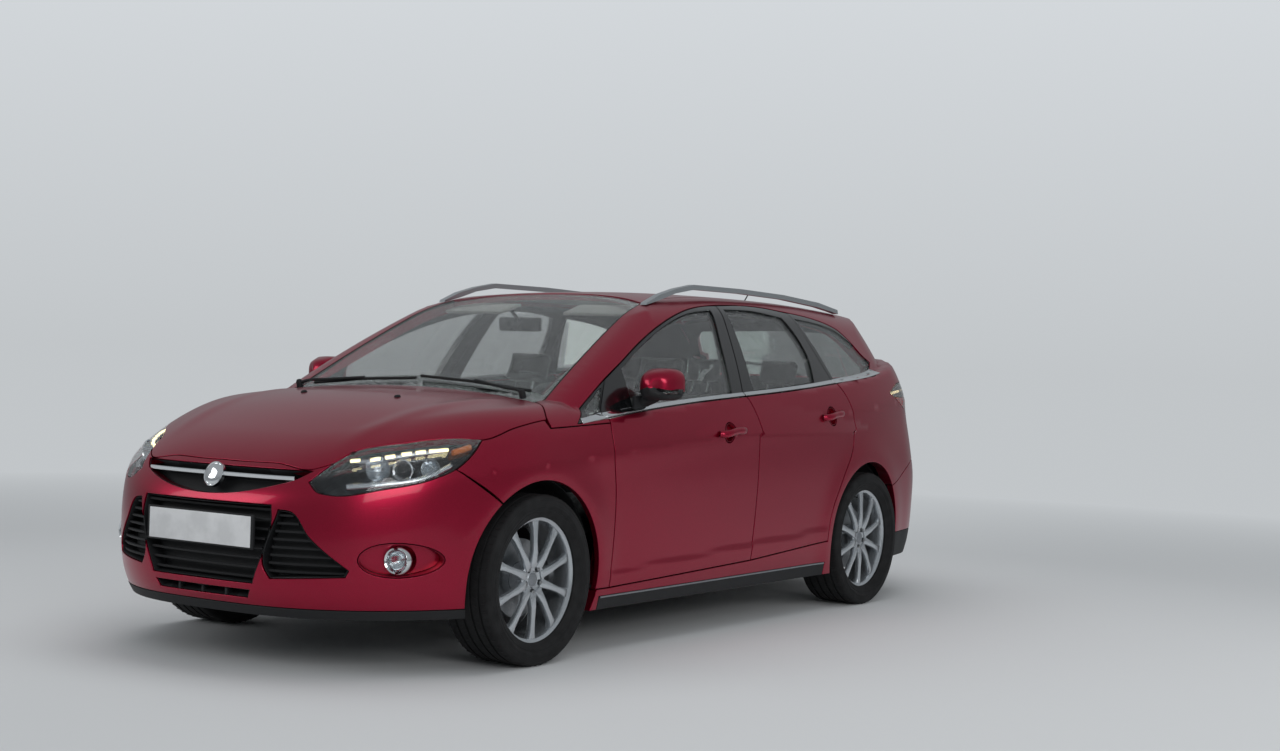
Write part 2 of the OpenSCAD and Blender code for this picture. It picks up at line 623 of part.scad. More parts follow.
module rim_rear_left() { rim(1, rear_axle); }
module rim_rear_right() { rim(-1, rear_axle); }
module spindle() { translate([0, 0, -70]) cylinder(r = spindle_r, h = 120, $fn = 72); }
module knuckle(side) {
    color("#6f7276") {
        turned(side, front_axle) {
            spindle();
            translate([0, 0, -66]) cylinder(r = 60, h = 26, $fn = 48);
        }
        // Upright with the ball joint at its foot and the strut clamp at its head
        translate([front_axle, side * (wheel_y - 53), 0]) {
            translate([-25, -13, 225]) cube([50, 26, wheel_z + 130 - 225]);
            translate([-20, side > 0 ? -90 : 13, wheel_z + 60]) cube([40, 77, 40]);
        }
    }
}
module knuckle_left() { knuckle(1); }
module knuckle_right() { knuckle(-1); }
module front_subframe() {
    color("#2b2d30") {
        // Cradle, crash rails and the beam behind the bumper
        translate([1130, -400, 196]) cube([90, 800, 60]);
        translate([1500, -400, 196]) cube([90, 800, 60]);
        both_sides() {
            translate([1130, 330, 196]) cube([460, 90, 60]);
            translate([1100, 415, 430]) cube([930, 60, 110]);
            translate([1150, 400, 250]) cube([60, 40, 190]);
            // Lower arm to the ball joint
            translate([front_axle - 30, 410, 200]) cube([60, kingpin_y - 26 - 410, 20]);
            // Strut above the tyre, and the tower that holds it
            translate([front_axle, wheel_y - 200, 714]) cylinder(r = 32, h = 128, $fn = 32);
            translate([front_axle - 90, 440, 820]) cube([180, 230, 24]);
            translate([front_axle - 90, 440, 530]) cube([180, 22, 300]);
        }
        difference() {
            translate([2020, -555, 490]) cube([46, 1110, 110]);
            translate([2010, tow_eye.x, tow_eye.y]) rotate([0, 90, 0]) cylinder(r = 9, h = 70, $fn = 48);
        }
    }
}
module rear_axle_beam() {
    color("#2b2d30") {
        translate([rear_axle - 60, -560, 264]) cube([120, 1120, 66]);
        both_sides() {
            turned(1, rear_axle) {
                spindle();
                translate([0, 0, -66]) cylinder(r = 60, h = 26, $fn = 48);
            }
            translate([rear_axle - 30, 540, 262]) cube([60, wheel_y - 66 - 540, 60]);
            translate([rear_axle - 190, 520, 262]) cube([150, 40, 40]);
            translate([rear_axle - 160, 540, 300]) cylinder(r = 30, h = 240, $fn = 32);
        }
    }
}
module wheel_arch_liners() {
    color("#17181a") both_sides() {
        liner(front_axle, 500, 765, -12, 180, 6, 6);
        liner(front_axle, 745, 830, 56, 176, 7, 4);
        liner(rear_axle, 625, 795, 0, 180, 6, 6);
    }
}
module liner(axle, y0, y1, a0, a1, gap, thick) {
    translate([axle, y1, arch_z]) rotate([90, 0, 0]) rotate([0, 0, a0])
        rotate_extrude(angle = a1 - a0, $fn = 96) translate([arch_r + gap, 0]) square([thick, y1 - y0]);
}

// ---- under the floor and in the engine bay ----

module engine_block() {
    color("#55585c") translate([1290, -390, 270]) cube([520, 770, 520]);
}
module exhaust() {
    color("#8c8f93") {
        translate([-1950, -140, 230]) rotate([0, 90, 0]) cylinder(r = 27, h = 3050, $fn = 32);
        translate([-1950, -330, 190]) cube([180, 440, 120]);
        translate([-2175, -300, 250]) rotate([0, 90, 0]) cylinder(r = 32, h = 226, $fn = 32);
    }
}
module fuel_tank() {
    color("#202225") translate([-1000, 60, 205]) cube([470, 420, 180]);
}
module floor_pan() {
    color("#3a3c40") {
        // Cabin floor, the heel board and the load floor
        translate([-480, -745, floor_z]) cube([1455, 1490, 14]);
        translate([970, -480, floor_z]) cube([90, 960, 14]);
        translate([-494, -745, floor_z]) cube([14, 1490, 140]);
        translate([-880, -745, floor_z + 126]) cube([390, 1490, 14]);
        translate([-1010, -545, floor_z + 126]) cube([140, 1090, 14]);
        both_sides() translate([-820, 738, 176]) cube([1790, 10, floor_z - 170]);
        translate([-1024, -545, floor_z + 126]) cube([14, 1090, 180]);
        translate([-2100, -545, floor_z + 292]) cube([1080, 1090, 14]);
        translate([-2114, -545, 470]) cube([14, 1090, 225]);
        both_sides() translate([-1950, 545, 562]) cube([885, 14, 200]);
        // Tunnel
        translate([-480, -130, floor_z + 14]) cube([1530, 14, 110]);
        translate([-480, 116, floor_z + 14]) cube([1530, 14, 110]);
        translate([-480, -130, floor_z + 124]) cube([1530, 260, 12]);
        // Bulkhead and scuttle
        translate([1050, -480, 262]) cube([16, 960, 620]);
        translate([960, -712, 860]) cube([16, 1424, 90]);
        translate([974, -712, 860]) cube([242, 1424, 14]);
    }
}

// ---- cabin ----

module dashboard() {
    color("#232427") {
        translate([0, 690, 0]) rotate([90, 0, 0]) linear_extrude(1380)
            polygon([[955, 690], [955, 930], [900, 962], [790, 955], [730, 915], [715, 850], [760, 760],
                     [860, 690]]);
        translate([420, -110, floor_z + 136]) cube([330, 220, 200]);
        translate([740, -110, floor_z + 136]) cube([130, 220, 430]);
        translate([690, 370, 830]) rotate([0, -65, 0]) cylinder(r = 34, h = 90, $fn = 32, center = true);
    }
}
steering_centre = [590, 370, 885];
module steering_wheel() {
    color("#1c1c1e") translate(steering_centre) rotate([0, -65, 0]) {
        rotate_extrude($fn = 72) translate([steering_wheel_d / 2 - 15, 0]) circle(r = 15, $fn = 24);
        translate([0, 0, -30]) cylinder(r = 55, h = 45, $fn = 40);
        for (a = [0, 90, 270])
            rotate([0, 0, a]) translate([40, -18, -12]) cube([steering_wheel_d / 2 - 55, 36, 14]);
    }
}
module seat(x, y, w, base_z, back_a) {
    translate([x, y - w / 2, base_z]) cube([500, w, 150]);
    translate([x + 20, y - w / 2 + 30, base_z - 120]) cube([420, w - 60, 122]);
    translate([x + 90, y - w / 2, base_z + 90]) rotate([0, -back_a, 0]) {
        translate([-110, 0, 0]) cube([130, w, 560]);
        translate([-90, w / 2 - 125, 590]) cube([90, 250, 170]);
        for (k = [-50, 50]) translate([-45, w / 2 + k, 550]) cylinder(r = 6, h = 60, $fn = 24);
    }
}
module front_seats() {
    color("#2a2b2e") both_sides() seat(60, 375, seat_w, 408, 22);
}
module rear_bench() {
    color("#2a2b2e") {
        translate([-900, -620, floor_z + 140]) cube([480, 1240, 160]);
        translate([-850, -620, floor_z + 240]) rotate([0, -20, 0]) {
            translate([-100, 60, 0]) cube([110, 1120, 560]);
            for (y = [180, 620, 1060]) {
                translate([-80, y - 110, 585]) cube([80, 220, 150]);
                for (k = [-45, 45]) translate([-40, y + k, 550]) cylinder(r = 6, h = 60, $fn = 24);
            }
        }
    }
}

floor_pan();
body_side_left();
body_side_right();
roof_panel();
front_wings();
front_bumper();
rear_bumper();
grilles();
headlamps();
fog_lamps();
tail_lamps();
windscreen();
fixed_side_glass();
roof_rails();
wheel_arch_liners();
engine_block();
front_subframe();
rear_axle_beam();  // rear_axle
exhaust();
fuel_tank();
dashboard();
front_seats();
rear_bench();
steering_wheel();
knuckle_left();
knuckle_right();
tyre_front_left();
tyre_front_right();
tyre_rear_left();
tyre_rear_right();
rim_front_left();
rim_front_right();
rim_rear_left();
rim_rear_right();
bonnet();
tailgate();
tailgate_glass();
door_front_left();
door_front_right();
door_rear_left();
door_rear_right();
door_glass_front_left();
door_glass_front_right();
door_glass_rear_left();
door_glass_rear_right();
mirror_left();
mirror_right();
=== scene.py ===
import json
import math

import bpy
import numpy as np
from mathutils import Matrix, Vector
from mathutils.geometry import delaunay_2d_cdt

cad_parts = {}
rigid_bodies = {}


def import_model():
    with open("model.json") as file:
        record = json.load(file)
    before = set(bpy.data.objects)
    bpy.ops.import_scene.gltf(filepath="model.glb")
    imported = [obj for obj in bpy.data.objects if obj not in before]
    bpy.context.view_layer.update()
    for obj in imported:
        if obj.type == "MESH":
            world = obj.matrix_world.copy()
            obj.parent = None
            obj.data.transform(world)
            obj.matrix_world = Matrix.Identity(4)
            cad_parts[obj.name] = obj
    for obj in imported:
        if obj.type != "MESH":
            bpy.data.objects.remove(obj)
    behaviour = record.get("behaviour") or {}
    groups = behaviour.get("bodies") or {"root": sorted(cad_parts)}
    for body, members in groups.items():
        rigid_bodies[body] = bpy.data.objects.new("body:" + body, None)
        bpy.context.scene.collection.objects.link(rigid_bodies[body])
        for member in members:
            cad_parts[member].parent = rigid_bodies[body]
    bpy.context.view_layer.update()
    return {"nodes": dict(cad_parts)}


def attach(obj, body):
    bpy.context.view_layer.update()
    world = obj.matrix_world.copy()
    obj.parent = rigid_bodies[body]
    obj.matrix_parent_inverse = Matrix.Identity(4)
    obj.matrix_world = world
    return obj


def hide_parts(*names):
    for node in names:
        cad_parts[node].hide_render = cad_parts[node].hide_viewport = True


for item in list(bpy.data.objects):
    bpy.data.objects.remove(item)
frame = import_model()
bpy.ops.object.select_all(action="DESELECT")
print("stage: frame loaded")


def chosen(piece):
    # the one piece that is selected and active
    bpy.ops.object.select_all(action="DESELECT")
    bpy.context.view_layer.objects.active = piece
    piece.select_set(True)
    return piece


def turnedOut(piece):
    # every face of a closed piece looks outwards
    chosen(piece)
    bpy.ops.object.mode_set(mode="EDIT")
    bpy.ops.mesh.select_all(action="SELECT")
    bpy.ops.mesh.normals_make_consistent(inside=False)
    bpy.ops.object.mode_set(mode="OBJECT")
    return piece


def linked(name, data):
    piece = bpy.data.objects.new(name, data)
    bpy.context.scene.collection.objects.link(piece)
    return piece


def ringFaces(rings, count):
    # quads between rings of points, and a face over each end
    faces = [(i * count + j, i * count + (j + 1) % count, (i + 1) * count + (j + 1) % count,
        (i + 1) * count + j) for i in range(rings - 1) for j in range(count)]
    return faces + [tuple(range(count))[::-1], tuple((rings - 1) * count + j for j in range(count))]


# form of the body: the same fair curves as the construction model, in millimetres

def fair(points):
    # natural cubic spline, straight beyond its ends
    x, y = np.array(points, float).T
    n, h = len(x) - 1, np.diff(x)
    matrix, right = np.eye(n + 1), np.zeros(n + 1)
    for i in range(1, n):
        matrix[i, i - 1 : i + 2] = h[i - 1], 2 * (h[i - 1] + h[i]), h[i]
        right[i] = 6 * ((y[i + 1] - y[i]) / h[i] - (y[i] - y[i - 1]) / h[i - 1])
    m = np.linalg.solve(matrix, right)
    low = (y[1] - y[0]) / h[0] - h[0] * m[1] / 6
    high = (y[-1] - y[-2]) / h[-1] + h[-1] * m[-2] / 6

    def curve(q):
        q = np.asarray(q, float)
        inside = np.clip(q, x[0], x[-1])
        i = np.clip(np.searchsorted(x, inside) - 1, 0, n - 1)
        a, b, w = x[i + 1] - inside, inside - x[i], h[i]
        value = (m[i] * a**3 + m[i + 1] * b**3) / (6 * w)
        value = value + (y[i] / w - m[i] * w / 6) * a + (y[i + 1] / w - m[i + 1] * w / 6) * b
        return value + np.minimum(q - x[0], 0) * low + np.maximum(q - x[-1], 0) * high

    return curve


frontAxle, rearAxle = 1386, -1262
flank = fair([(150, 856), (250, 874), (400, 887), (550, 894), (700, 900), (820, 902)])
planIn = fair([(-2300, 160), (-1900, 76), (-1500, 22), (-1000, 3), (-300, 0), (500, 0), (1000, 6), (1500, 24),
    (2000, 52)])
tailIn = fair([(-2300, 70), (-1900, 46), (-1500, 26), (-1100, 8), (-600, 0), (0, 0), (2300, 0)])
noseLine = fair([(180, 2205), (260, 2252), (360, 2275), (480, 2278), (600, 2266), (700, 2232), (760, 2190),
    (900, 2020)])
tailLine = fair([(180, -2215), (260, -2255), (400, -2276), (520, -2278), (620, -2262), (700, -2228),
    (800, -2215), (900, -2200), (1000, -2170), (1100, -2118), (1200, -2050), (1300, -1975), (1400, -1900),
    (1480, -1840)])
hoodLine = fair([(1000, 1040), (1139, 1026), (1300, 1012), (1518, 988), (1700, 950), (1900, 884), (2050, 822),
    (2150, 772), (2250, 710)])
screenLine = fair([(200, 1478), (330, 1425), (600, 1302), (900, 1150), (1150, 1012), (1300, 925)])
roofLine = fair([(-2050, 1385), (-1900, 1410), (-1400, 1452), (-900, 1472), (-400, 1476), (0, 1462),
    (330, 1428)])
waist = fair([(-1700, 1166), (-1459, 1126), (-932, 1077), (-750, 1061), (0, 1009), (903, 931), (1141, 900)])
glassIn = fair([(-2100, 270), (-1800, 185), (-1600, 135), (-1300, 66), (-900, 18), (-400, 0), (100, 2),
    (500, 14), (900, 38), (1250, 70)])


def smooth(k):
    k = np.clip(k, 0, 1)
    return k * k * (3 - 2 * k)


def rounded(a, b, radius, power):
    # distance to two faces that meet in a round
    a, b = np.maximum(a + radius, 0), np.maximum(b + radius, 0)
    return (a**power + b**power) ** (1 / power) - radius


def flankWidth(x, z):
    t = z - (861 - 0.0763 * x)
    up = np.maximum(t, 0)
    y = np.where(t < 0, flank(z), 902) - 0.001 * up**2 - 0.09 * up + 4 * np.exp(-((t / 70) ** 2))
    y = y - planIn(x) - tailIn(x) * smooth((z - 640) / 360)
    for axle in (frontAxle, rearAxle):
        r = np.hypot(x - axle, z - 325)
        y = y + 9 * np.exp(-(((r - 385) / 85) ** 2))
    # pressed line low on the doors, which catches the light
    along = smooth((1020 - x) / 160) * smooth((x + 900) / 160)
    low = z - (356 - 0.042 * x)
    return y + along * (5 * smooth((14 - low) / 26) - 5 * smooth((-60 - low) / 90))


def lowerBody(x, y, z):
    y = np.abs(y)
    side = y - flankWidth(x, z)
    front = x - (noseLine(z) - 0.00018 * y**2)
    rear = tailLine(z) + 0.00012 * y**2 - x
    d = np.maximum(rounded(side, front, 650, 2.5), rounded(side, rear, 420, 2.5))
    k = smooth((x - 900) / 250)
    # two soft power lines run down the bonnet from the windscreen corners
    line = y - (560 - 0.14 * (x - 1200))
    ridge = 5 * np.exp(-((line / 46) ** 2)) * smooth((x - 1180) / 200) * smooth((2120 - x) / 240)
    cap = k * (hoodLine(x) - 0.00008 * y**2 + ridge) + (1 - k) * (waist(x) + 6)
    return rounded(d, (z - cap) * 0.95, 22 + 88 * k, 2.3)


def upperBody(x, y, z):
    y = np.abs(y)
    t = (z - waist(x)) / 400
    side = (y - (866 - 165 * t - 62 * t**2 - glassIn(x))) * 0.9
    top = z - (roofLine(x) - 0.00007 * y**2)
    glass = (z - (screenLine(x) - 0.00009 * y**2)) * 0.9
    rear = tailLine(z) + 0.0003 * y**2 - x
    cabin = np.maximum(rounded(side, top, 90, 2.3), rounded(side, glass, 60, 2.3))
    return np.maximum(cabin, np.maximum(rounded(side, rear, 330, 2.3), rounded(top, glass, 60, 2.2)))


def carBody(x, y, z):
    low = lowerBody(x, y, z)
    return np.where(z < 850, low, np.minimum(low, upperBody(x, y, z)))


def leave(start, direction, reach=1500):
    # where each line from inside leaves the body
    near, far = np.zeros(len(start)), np.full(len(start), float(reach))
    for _ in range(24):
        middle = (near + far) / 2
        inside = carBody(*(start + direction * middle[:, None]).T) < 0
        near, far = np.where(inside, middle, near), np.where(inside, far, middle)
    return start + direction * ((near + far) / 2)[:, None]


def outward(points):
    # unit normals of the form
    grad = np.empty_like(points)
    for axis in range(3):
        step = np.zeros(3)
        step[axis] = 1.5
        grad[:, axis] = carBody(*(points + step).T) - carBody(*(points - step).T)
    return grad / np.maximum(np.linalg.norm(grad, axis=1)[:, None], 1e-9)


# flat maps of the form: round the sides, over the top, and round the back

wrapMap = {"front": 1250.0, "rear": -1400.0, "arc": 850.0, "fold": 900.0, "inset": 250.0, "fan": 600.0}
wrapQuarter = wrapMap["arc"] * math.pi / 2
wrapEnd = 2 * wrapQuarter + wrapMap["front"] - wrapMap["rear"]  # middle of the tail
backMap = {"start": -1500.0, "fold": 900.0, "fan": 650.0}


def wrapRay(u, v):
    # u runs round the car from the middle of the nose, left side first; v runs up
    w = wrapMap
    sideways = np.where(u < 0, -1.0, 1.0)
    a = np.abs(u)
    sideways = np.where(a > wrapEnd, -sideways, sideways)
    a = np.where(a > wrapEnd, 2 * wrapEnd - a, a)
    length = w["front"] - w["rear"]
    turn = np.where(a < wrapQuarter, a, np.maximum(a - length, wrapQuarter)) / w["arc"]
    base = w["front"] - np.clip(a - wrapQuarter, 0, length)
    level = np.clip((v - w["fold"]) / w["fan"], 0, None)
    out = np.stack([np.cos(turn), sideways * np.sin(turn), np.zeros_like(a)], 1)
    start = out * np.where(level > 0, w["inset"], 0)[:, None]
    start = start + np.stack([base, np.zeros_like(a), np.minimum(v, w["fold"])], 1)
    direction = out * np.cos(level)[:, None]
    direction[:, 2] = np.sin(level)
    return start, direction


def wrapPlace(points):
    w = wrapMap
    x, y, z = np.asarray(points, float).T
    sign, y = np.where(y < 0, -1.0, 1.0), np.abs(y)
    frontArc, rearArc = x > w["front"], x < w["rear"]
    r = np.where(frontArc, np.hypot(y, x - w["front"]), np.where(rearArc, np.hypot(y, x - w["rear"]), y))
    u = wrapQuarter + w["front"] - x
    u = np.where(frontArc, w["arc"] * np.arctan2(y, x - w["front"]), u)
    turned = w["arc"] * (np.arctan2(y, x - w["rear"]) - math.pi / 2)
    u = np.where(rearArc, wrapQuarter + w["front"] - w["rear"] + turned, u)
    v = np.where(z > w["fold"], w["fold"] + w["fan"] * np.arctan2(z - w["fold"], r - w["inset"]), z)
    return np.stack([u * sign, v], 1)


def topRay(u, v):
    start = np.stack([u, v, np.full_like(u, 500.0)], 1)
    return start, np.tile([0.0, 0.0, 1.0], (len(u), 1))


def topPlace(points):
    return np.asarray(points, float)[:, :2]


def backRay(u, v):
    b = backMap
    level = np.clip((v - b["fold"]) / b["fan"], 0, None)
    start = np.stack([np.full_like(u, b["start"]), u, np.minimum(v, b["fold"])], 1)
    return start, np.stack([-np.cos(level), np.zeros_like(u), np.sin(level)], 1)


def backPlace(points):
    b = backMap
    x, y, z = np.asarray(points, float).T
    v = np.where(z > b["fold"], b["fold"] + b["fan"] * np.arctan2(z - b["fold"], b["start"] - x), z)
    return np.stack([y, v], 1)


maps = {"wrap": (wrapRay, wrapPlace), "top": (topRay, topPlace), "back": (backRay, backPlace)}


# outlines: points seen from one side, laid on the form

def eased(points, step=13.0, corner=38.0, closed=False):
    # a smooth run through the points, sharp where it turns by more than the corner angle
    p = np.asarray(points, float)
    n = len(p)
    sharp = [not closed and i in (0, n - 1) for i in range(n)]
    tangent = np.zeros_like(p)
    for i in range(n):
        before, after = p[i] - p[i - 1], p[(i + 1) % n] - p[i]
        a, b = np.linalg.norm(before), np.linalg.norm(after)
        turn = math.degrees(math.acos(np.clip(before @ after / max(a * b, 1e-9), -1, 1)))
        if turn > corner:
            sharp[i] = True
        tangent[i] = (before / a * b + after / b * a) / (a + b) if a and b else 0
    out = []
    for i in range(n if closed else n - 1):
        j = (i + 1) % n
        span = p[j] - p[i]
        length = np.linalg.norm(span)
        m0 = span if sharp[i] else tangent[i] * length
        m1 = span if sharp[j] else tangent[j] * length
        count = max(1, round(length / step))
        for t in np.arange(count) / count:
            out.append((2 * t**3 - 3 * t**2 + 1) * p[i] + (t**3 - 2 * t**2 + t) * m0 + (3 * t**2 - 2 * t**3)
                * p[j] + (t**3 - t**2) * m1)
    if not closed:
        out.append(p[-1])
    return np.array(out)


def onSide(points):
    p = np.asarray(points, float)
    start = np.stack([p[:, 0], np.zeros(len(p)), p[:, 1]], 1)
    return leave(start, np.tile([0.0, 1.0, 0.0], (len(p), 1)), 1000)


def onTop(points):
    p = np.asarray(points, float)
    return leave(np.stack([p[:, 0], p[:, 1], np.full(len(p), 600.0)], 1), np.tile([0.0, 0, 1], (len(p), 1)),
        1000)


def onFront(points):
    p = np.asarray(points, float)
    return leave(np.stack([np.full(len(p), 900.0), p[:, 0], p[:, 1]], 1), np.tile([1.0, 0, 0], (len(p), 1)),
        1500)


def onBack(points):
    p = np.asarray(points, float)
    return leave(np.stack([np.full(len(p), -1300.0), p[:, 0], p[:, 1]], 1), np.tile([-1.0, 0, 0], (len(p), 1)),
        1100)


def joined(*runs):
    # one closed outline from runs that meet end to end
    out = [np.asarray(run)[:-1] if np.linalg.norm(run[-1] - nxt[0]) < 1e-6 else np.asarray(run) for run,
        nxt in zip(runs, runs[1:] + runs[:1])]
    return np.concatenate(out)


def mirrorLoop(points, axis):
    # a half outline and its mirror image
    p = np.asarray(points, float)
    other = p[::-1].copy()
    other[:, axis] *= -1
    keep = np.abs(other[:, axis]) > 1e-6
    return np.concatenate([p, other[keep]])


def insideLoop(points, loop):
    x, y = points[:, 0][:, None], points[:, 1][:, None]
    ax, ay = loop.T
    bx, by = np.roll(loop, -1, 0).T
    crosses = (ay > y) != (by > y)
    with np.errstate(divide="ignore", invalid="ignore"):
        cut = (bx - ax) * (y - ay) / (by - ay) + ax
    return (crosses & (x < cut)).sum(1) % 2 == 1


def insideAll(points, within, without):
    keep = np.ones(len(points), bool)
    for loop in within:
        keep &= insideLoop(points, loop)
    for loop in without:
        keep &= ~insideLoop(points, loop)
    return keep


# panels: a fine mesh laid on the form, with a gap, rounded edges and a real thickness

def meshPiece(name, verts, faces, normals=None, faceMaterial=None, materials=()):
    mesh = bpy.data.meshes.new(name)
    mesh.from_pydata(np.asarray(verts) / 1000, [], faces)
    for material in materials:
        mesh.materials.append(material)
    if faceMaterial is not None:
        mesh.polygons.foreach_set("material_index", np.asarray(faceMaterial, np.int32))
    mesh.polygons.foreach_set("use_smooth", np.ones(len(mesh.polygons), bool))
    mesh.update()
    if normals is not None:
        mesh.normals_split_custom_set(normals)
    return linked(name, mesh)


def trimmedMesh(within, without, step):
    low = np.max([loop.min(0) for loop in within], 0)
    high = np.min([loop.max(0) for loop in within], 0)
    rows = np.arange(low[1] - step, high[1] + step, step * 0.87)
    columns = np.arange(low[0] - step, high[0] + step, step)
    grid = np.array([(c + (i % 2) * step / 2, r) for i, r in enumerate(rows) for c in columns])
    points, edges = [], []
    for loop in list(within) + list(without):
        near = ((loop > low - 60) & (loop < high + 60)).all(1)
        if not near.any():
            continue
        start = sum(len(p) for p in points)
        points.append(loop)
        edges += [(start + i, start + (i + 1) % len(loop)) for i in range(len(loop))]
    border = np.concatenate(points)
    grid = grid[insideAll(grid, within, without)]
    if len(grid):
        clear = np.ones(len(grid), bool)
        for k in range(0, len(border), 200):
            gap = np.linalg.norm(grid[:, None] - border[None, k : k + 200], axis=2)
            clear &= (gap > step * 0.55).all(1)
        grid = grid[clear]
    every = [Vector(p) for p in np.concatenate([border, grid])]
    verts, _, tris, *_ = delaunay_2d_cdt(every, edges, [], 0, 1e-4)
    verts = np.array([tuple(v) for v in verts])
    tris = np.array([tuple(t) for t in tris])
    a, b, c = (verts[tris[:, k]] for k in range(3))
    area = (b[:, 0] - a[:, 0]) * (c[:, 1] - a[:, 1]) - (b[:, 1] - a[:, 1]) * (c[:, 0] - a[:, 0])
    tris[area < 0] = tris[area < 0][:, ::-1]
    keep = insideAll(verts[tris].mean(1), within, without) & (np.abs(area) > 0.02)
    tris = tris[keep]
    used, renamed = np.unique(tris, return_inverse=True)
    return verts[used], renamed.reshape(-1, 3)


def panel(name, mapName, within, without=(), step=24.0, gap=2.6, edge=1.6, wall=6.0, lift=0.0, materials=(),
        innerMaterial=0, mirrored=False, straight=True):
    ray = maps[mapName][0]
    flat, tris = trimmedMesh(within, without, step)
    start, direction = ray(flat[:, 0].copy(), flat[:, 1].copy())
    place = leave(start, direction)
    normal = outward(place)
    cross = np.cross(place[tris[:, 1]] - place[tris[:, 0]], place[tris[:, 2]] - place[tris[:, 0]])
    if (cross * normal[tris[:, 0]]).sum() < 0:
        tris = tris[:, ::-1]
    into = -direction if straight else -normal
    depth = wall(place) if callable(wall) else np.full(len(place), float(wall))
    edges = np.concatenate([tris[:, [0, 1]], tris[:, [1, 2]], tris[:, [2, 0]]])
    lookup = {tuple(e) for e in edges.tolist()}
    border = np.array([e for e in lookup if (e[1], e[0]) not in lookup])
    towards = np.zeros_like(place)  # from the cut edge into the panel
    a, b = border.T
    along = place[b] - place[a]
    along /= np.maximum(np.linalg.norm(along, axis=1)[:, None], 1e-9)
    np.add.at(towards, a, np.cross(normal[a], along))
    np.add.at(towards, b, np.cross(normal[b], along))
    size = np.linalg.norm(towards, axis=1)
    rim = size > 1e-6
    mitre = np.minimum(2 / np.maximum(size, 1e-6), 1.7)
    towards[rim] = towards[rim] / size[rim][:, None]
    n = len(place)
    ids = np.where(rim)[0]
    index = np.full(n, -1)
    index[ids] = np.arange(len(ids))
    tMitre = towards * np.where(rim, mitre, 0)[:, None]
    outer = place + normal * lift + tMitre * (gap + edge)
    rings = [outer[ids]]
    ringNormals = [normal[ids]]
    for angle in (math.radians(45), math.radians(90)):
        rings.append((place + normal * (lift - edge * (1 - math.cos(angle))) + tMitre
            * (gap + edge * (1 - math.sin(angle))))[ids])
        ringNormals.append((normal * math.cos(angle) - towards * math.sin(angle))[ids])
    last = rings[-1] + into[ids] * (depth[ids] - edge)[:, None]
    inside = outer + into * depth[:, None]
    inside[ids] = last
    verts = [outer] + rings[1:] + [inside]
    offset = [0, n, n + len(ids), n + 2 * len(ids)]
    faces = [tuple(t) for t in tris.tolist()]
    loopNormals = [normal[tris.reshape(-1)]]
    faceMaterial = [0] * len(tris)
    ra, rb = index[a], index[b]
    levels = [(a, b), (offset[1] + ra, offset[1] + rb), (offset[2] + ra, offset[2] + rb),
        (offset[3] + a, offset[3] + b)]
    normalsAt = ringNormals + [-towards[ids]]
    for k in range(3):
        quad = np.stack([levels[k][1], levels[k][0], levels[k + 1][0], levels[k + 1][1]], 1)
        faces += [tuple(q) for q in quad.tolist()]
        high, low = normalsAt[k], normalsAt[k + 1]
        if k == 2:
            high = low = -towards[ids]
        loopNormals.append(np.stack([high[rb], high[ra], low[ra], low[rb]], 1).reshape(-1, 3))
        faceMaterial += [0] * len(quad)
    back = offset[3] + tris[:, ::-1]
    faces += [tuple(t) for t in back.tolist()]
    loopNormals.append(-normal[tris[:, ::-1].reshape(-1)])
    faceMaterial += [innerMaterial] * len(back)
    verts, normals = np.concatenate(verts), np.concatenate(loopNormals)
    if not mirrored:
        return meshPiece(name, verts, faces, normals, faceMaterial, materials)
    pair = []
    for side, sign in (("Left", 1), ("Right", -1)):
        v, nn, ff = verts.copy(), normals.copy(), faces
        if sign < 0:
            v[:, 1] *= -1
            nn[:, 1] *= -1
            ff = [tuple(reversed(f)) for f in faces]
            counts = [len(f) for f in faces]
            ends = np.cumsum(counts)
            order = np.concatenate([np.arange(e - c, e)[::-1] for e, c in zip(ends, counts)])
            nn = nn[order]
        pair.append(meshPiece(name + side, v, ff, nn, faceMaterial, materials))
    return pair


# materials

def linear(code):
    # sRGB hex to linear colour
    parts = [int(code[i : i + 2], 16) / 255 for i in (1, 3, 5)]
    return tuple(p / 12.92 if p <= 0.04045 else ((p + 0.055) / 1.055) ** 2.4 for p in parts) + (1.0,)


def addNode(tree, kind, settings=None, values=None, links=()):
    # links: (from node, output name, input name)
    node = tree.nodes.new(kind)
    for key, value in (settings or {}).items():
        setattr(node, key, value)
    for key, value in (values or {}).items():
        node.inputs[key].default_value = value
    for source, output, target in links:
        tree.links.new(source.outputs[output], node.inputs[target])
    return node


def newMaterial(name, colour, roughness=0.5, metallic=0.0, **sockets):
    material = bpy.data.materials.new(name)
    material.use_nodes = True
    shader = material.node_tree.nodes["Principled BSDF"]
    shader.inputs["Base Color"].default_value = linear(colour)
    shader.inputs["Roughness"].default_value = roughness
    shader.inputs["Metallic"].default_value = metallic
    for key, value in sockets.items():
        shader.inputs[key.replace("_", " ")].default_value = value
    return material, material.node_tree, shader


def speckled(tree, shader, dark, light, scale, low=0.4, high=0.6, detail=4.0, target="Base Color"):
    # two tones mixed by noise; scale is cycles in a metre
    place = addNode(tree, "ShaderNodeTexCoord")
    noise = addNode(tree, "ShaderNodeTexNoise", None, {"Scale": scale, "Detail": detail},
        [(place, "Object", "Vector")])
    ramp = addNode(tree, "ShaderNodeValToRGB", None, None, [(noise, "Fac", "Fac")])
    ramp.color_ramp.elements[0].position, ramp.color_ramp.elements[1].position = low, high
    ramp.color_ramp.elements[0].color, ramp.color_ramp.elements[1].color = dark, light
    tree.links.new(ramp.outputs["Color"], shader.inputs[target])
    return place, noise


def grey(value):
    return (value, value, value, 1.0)


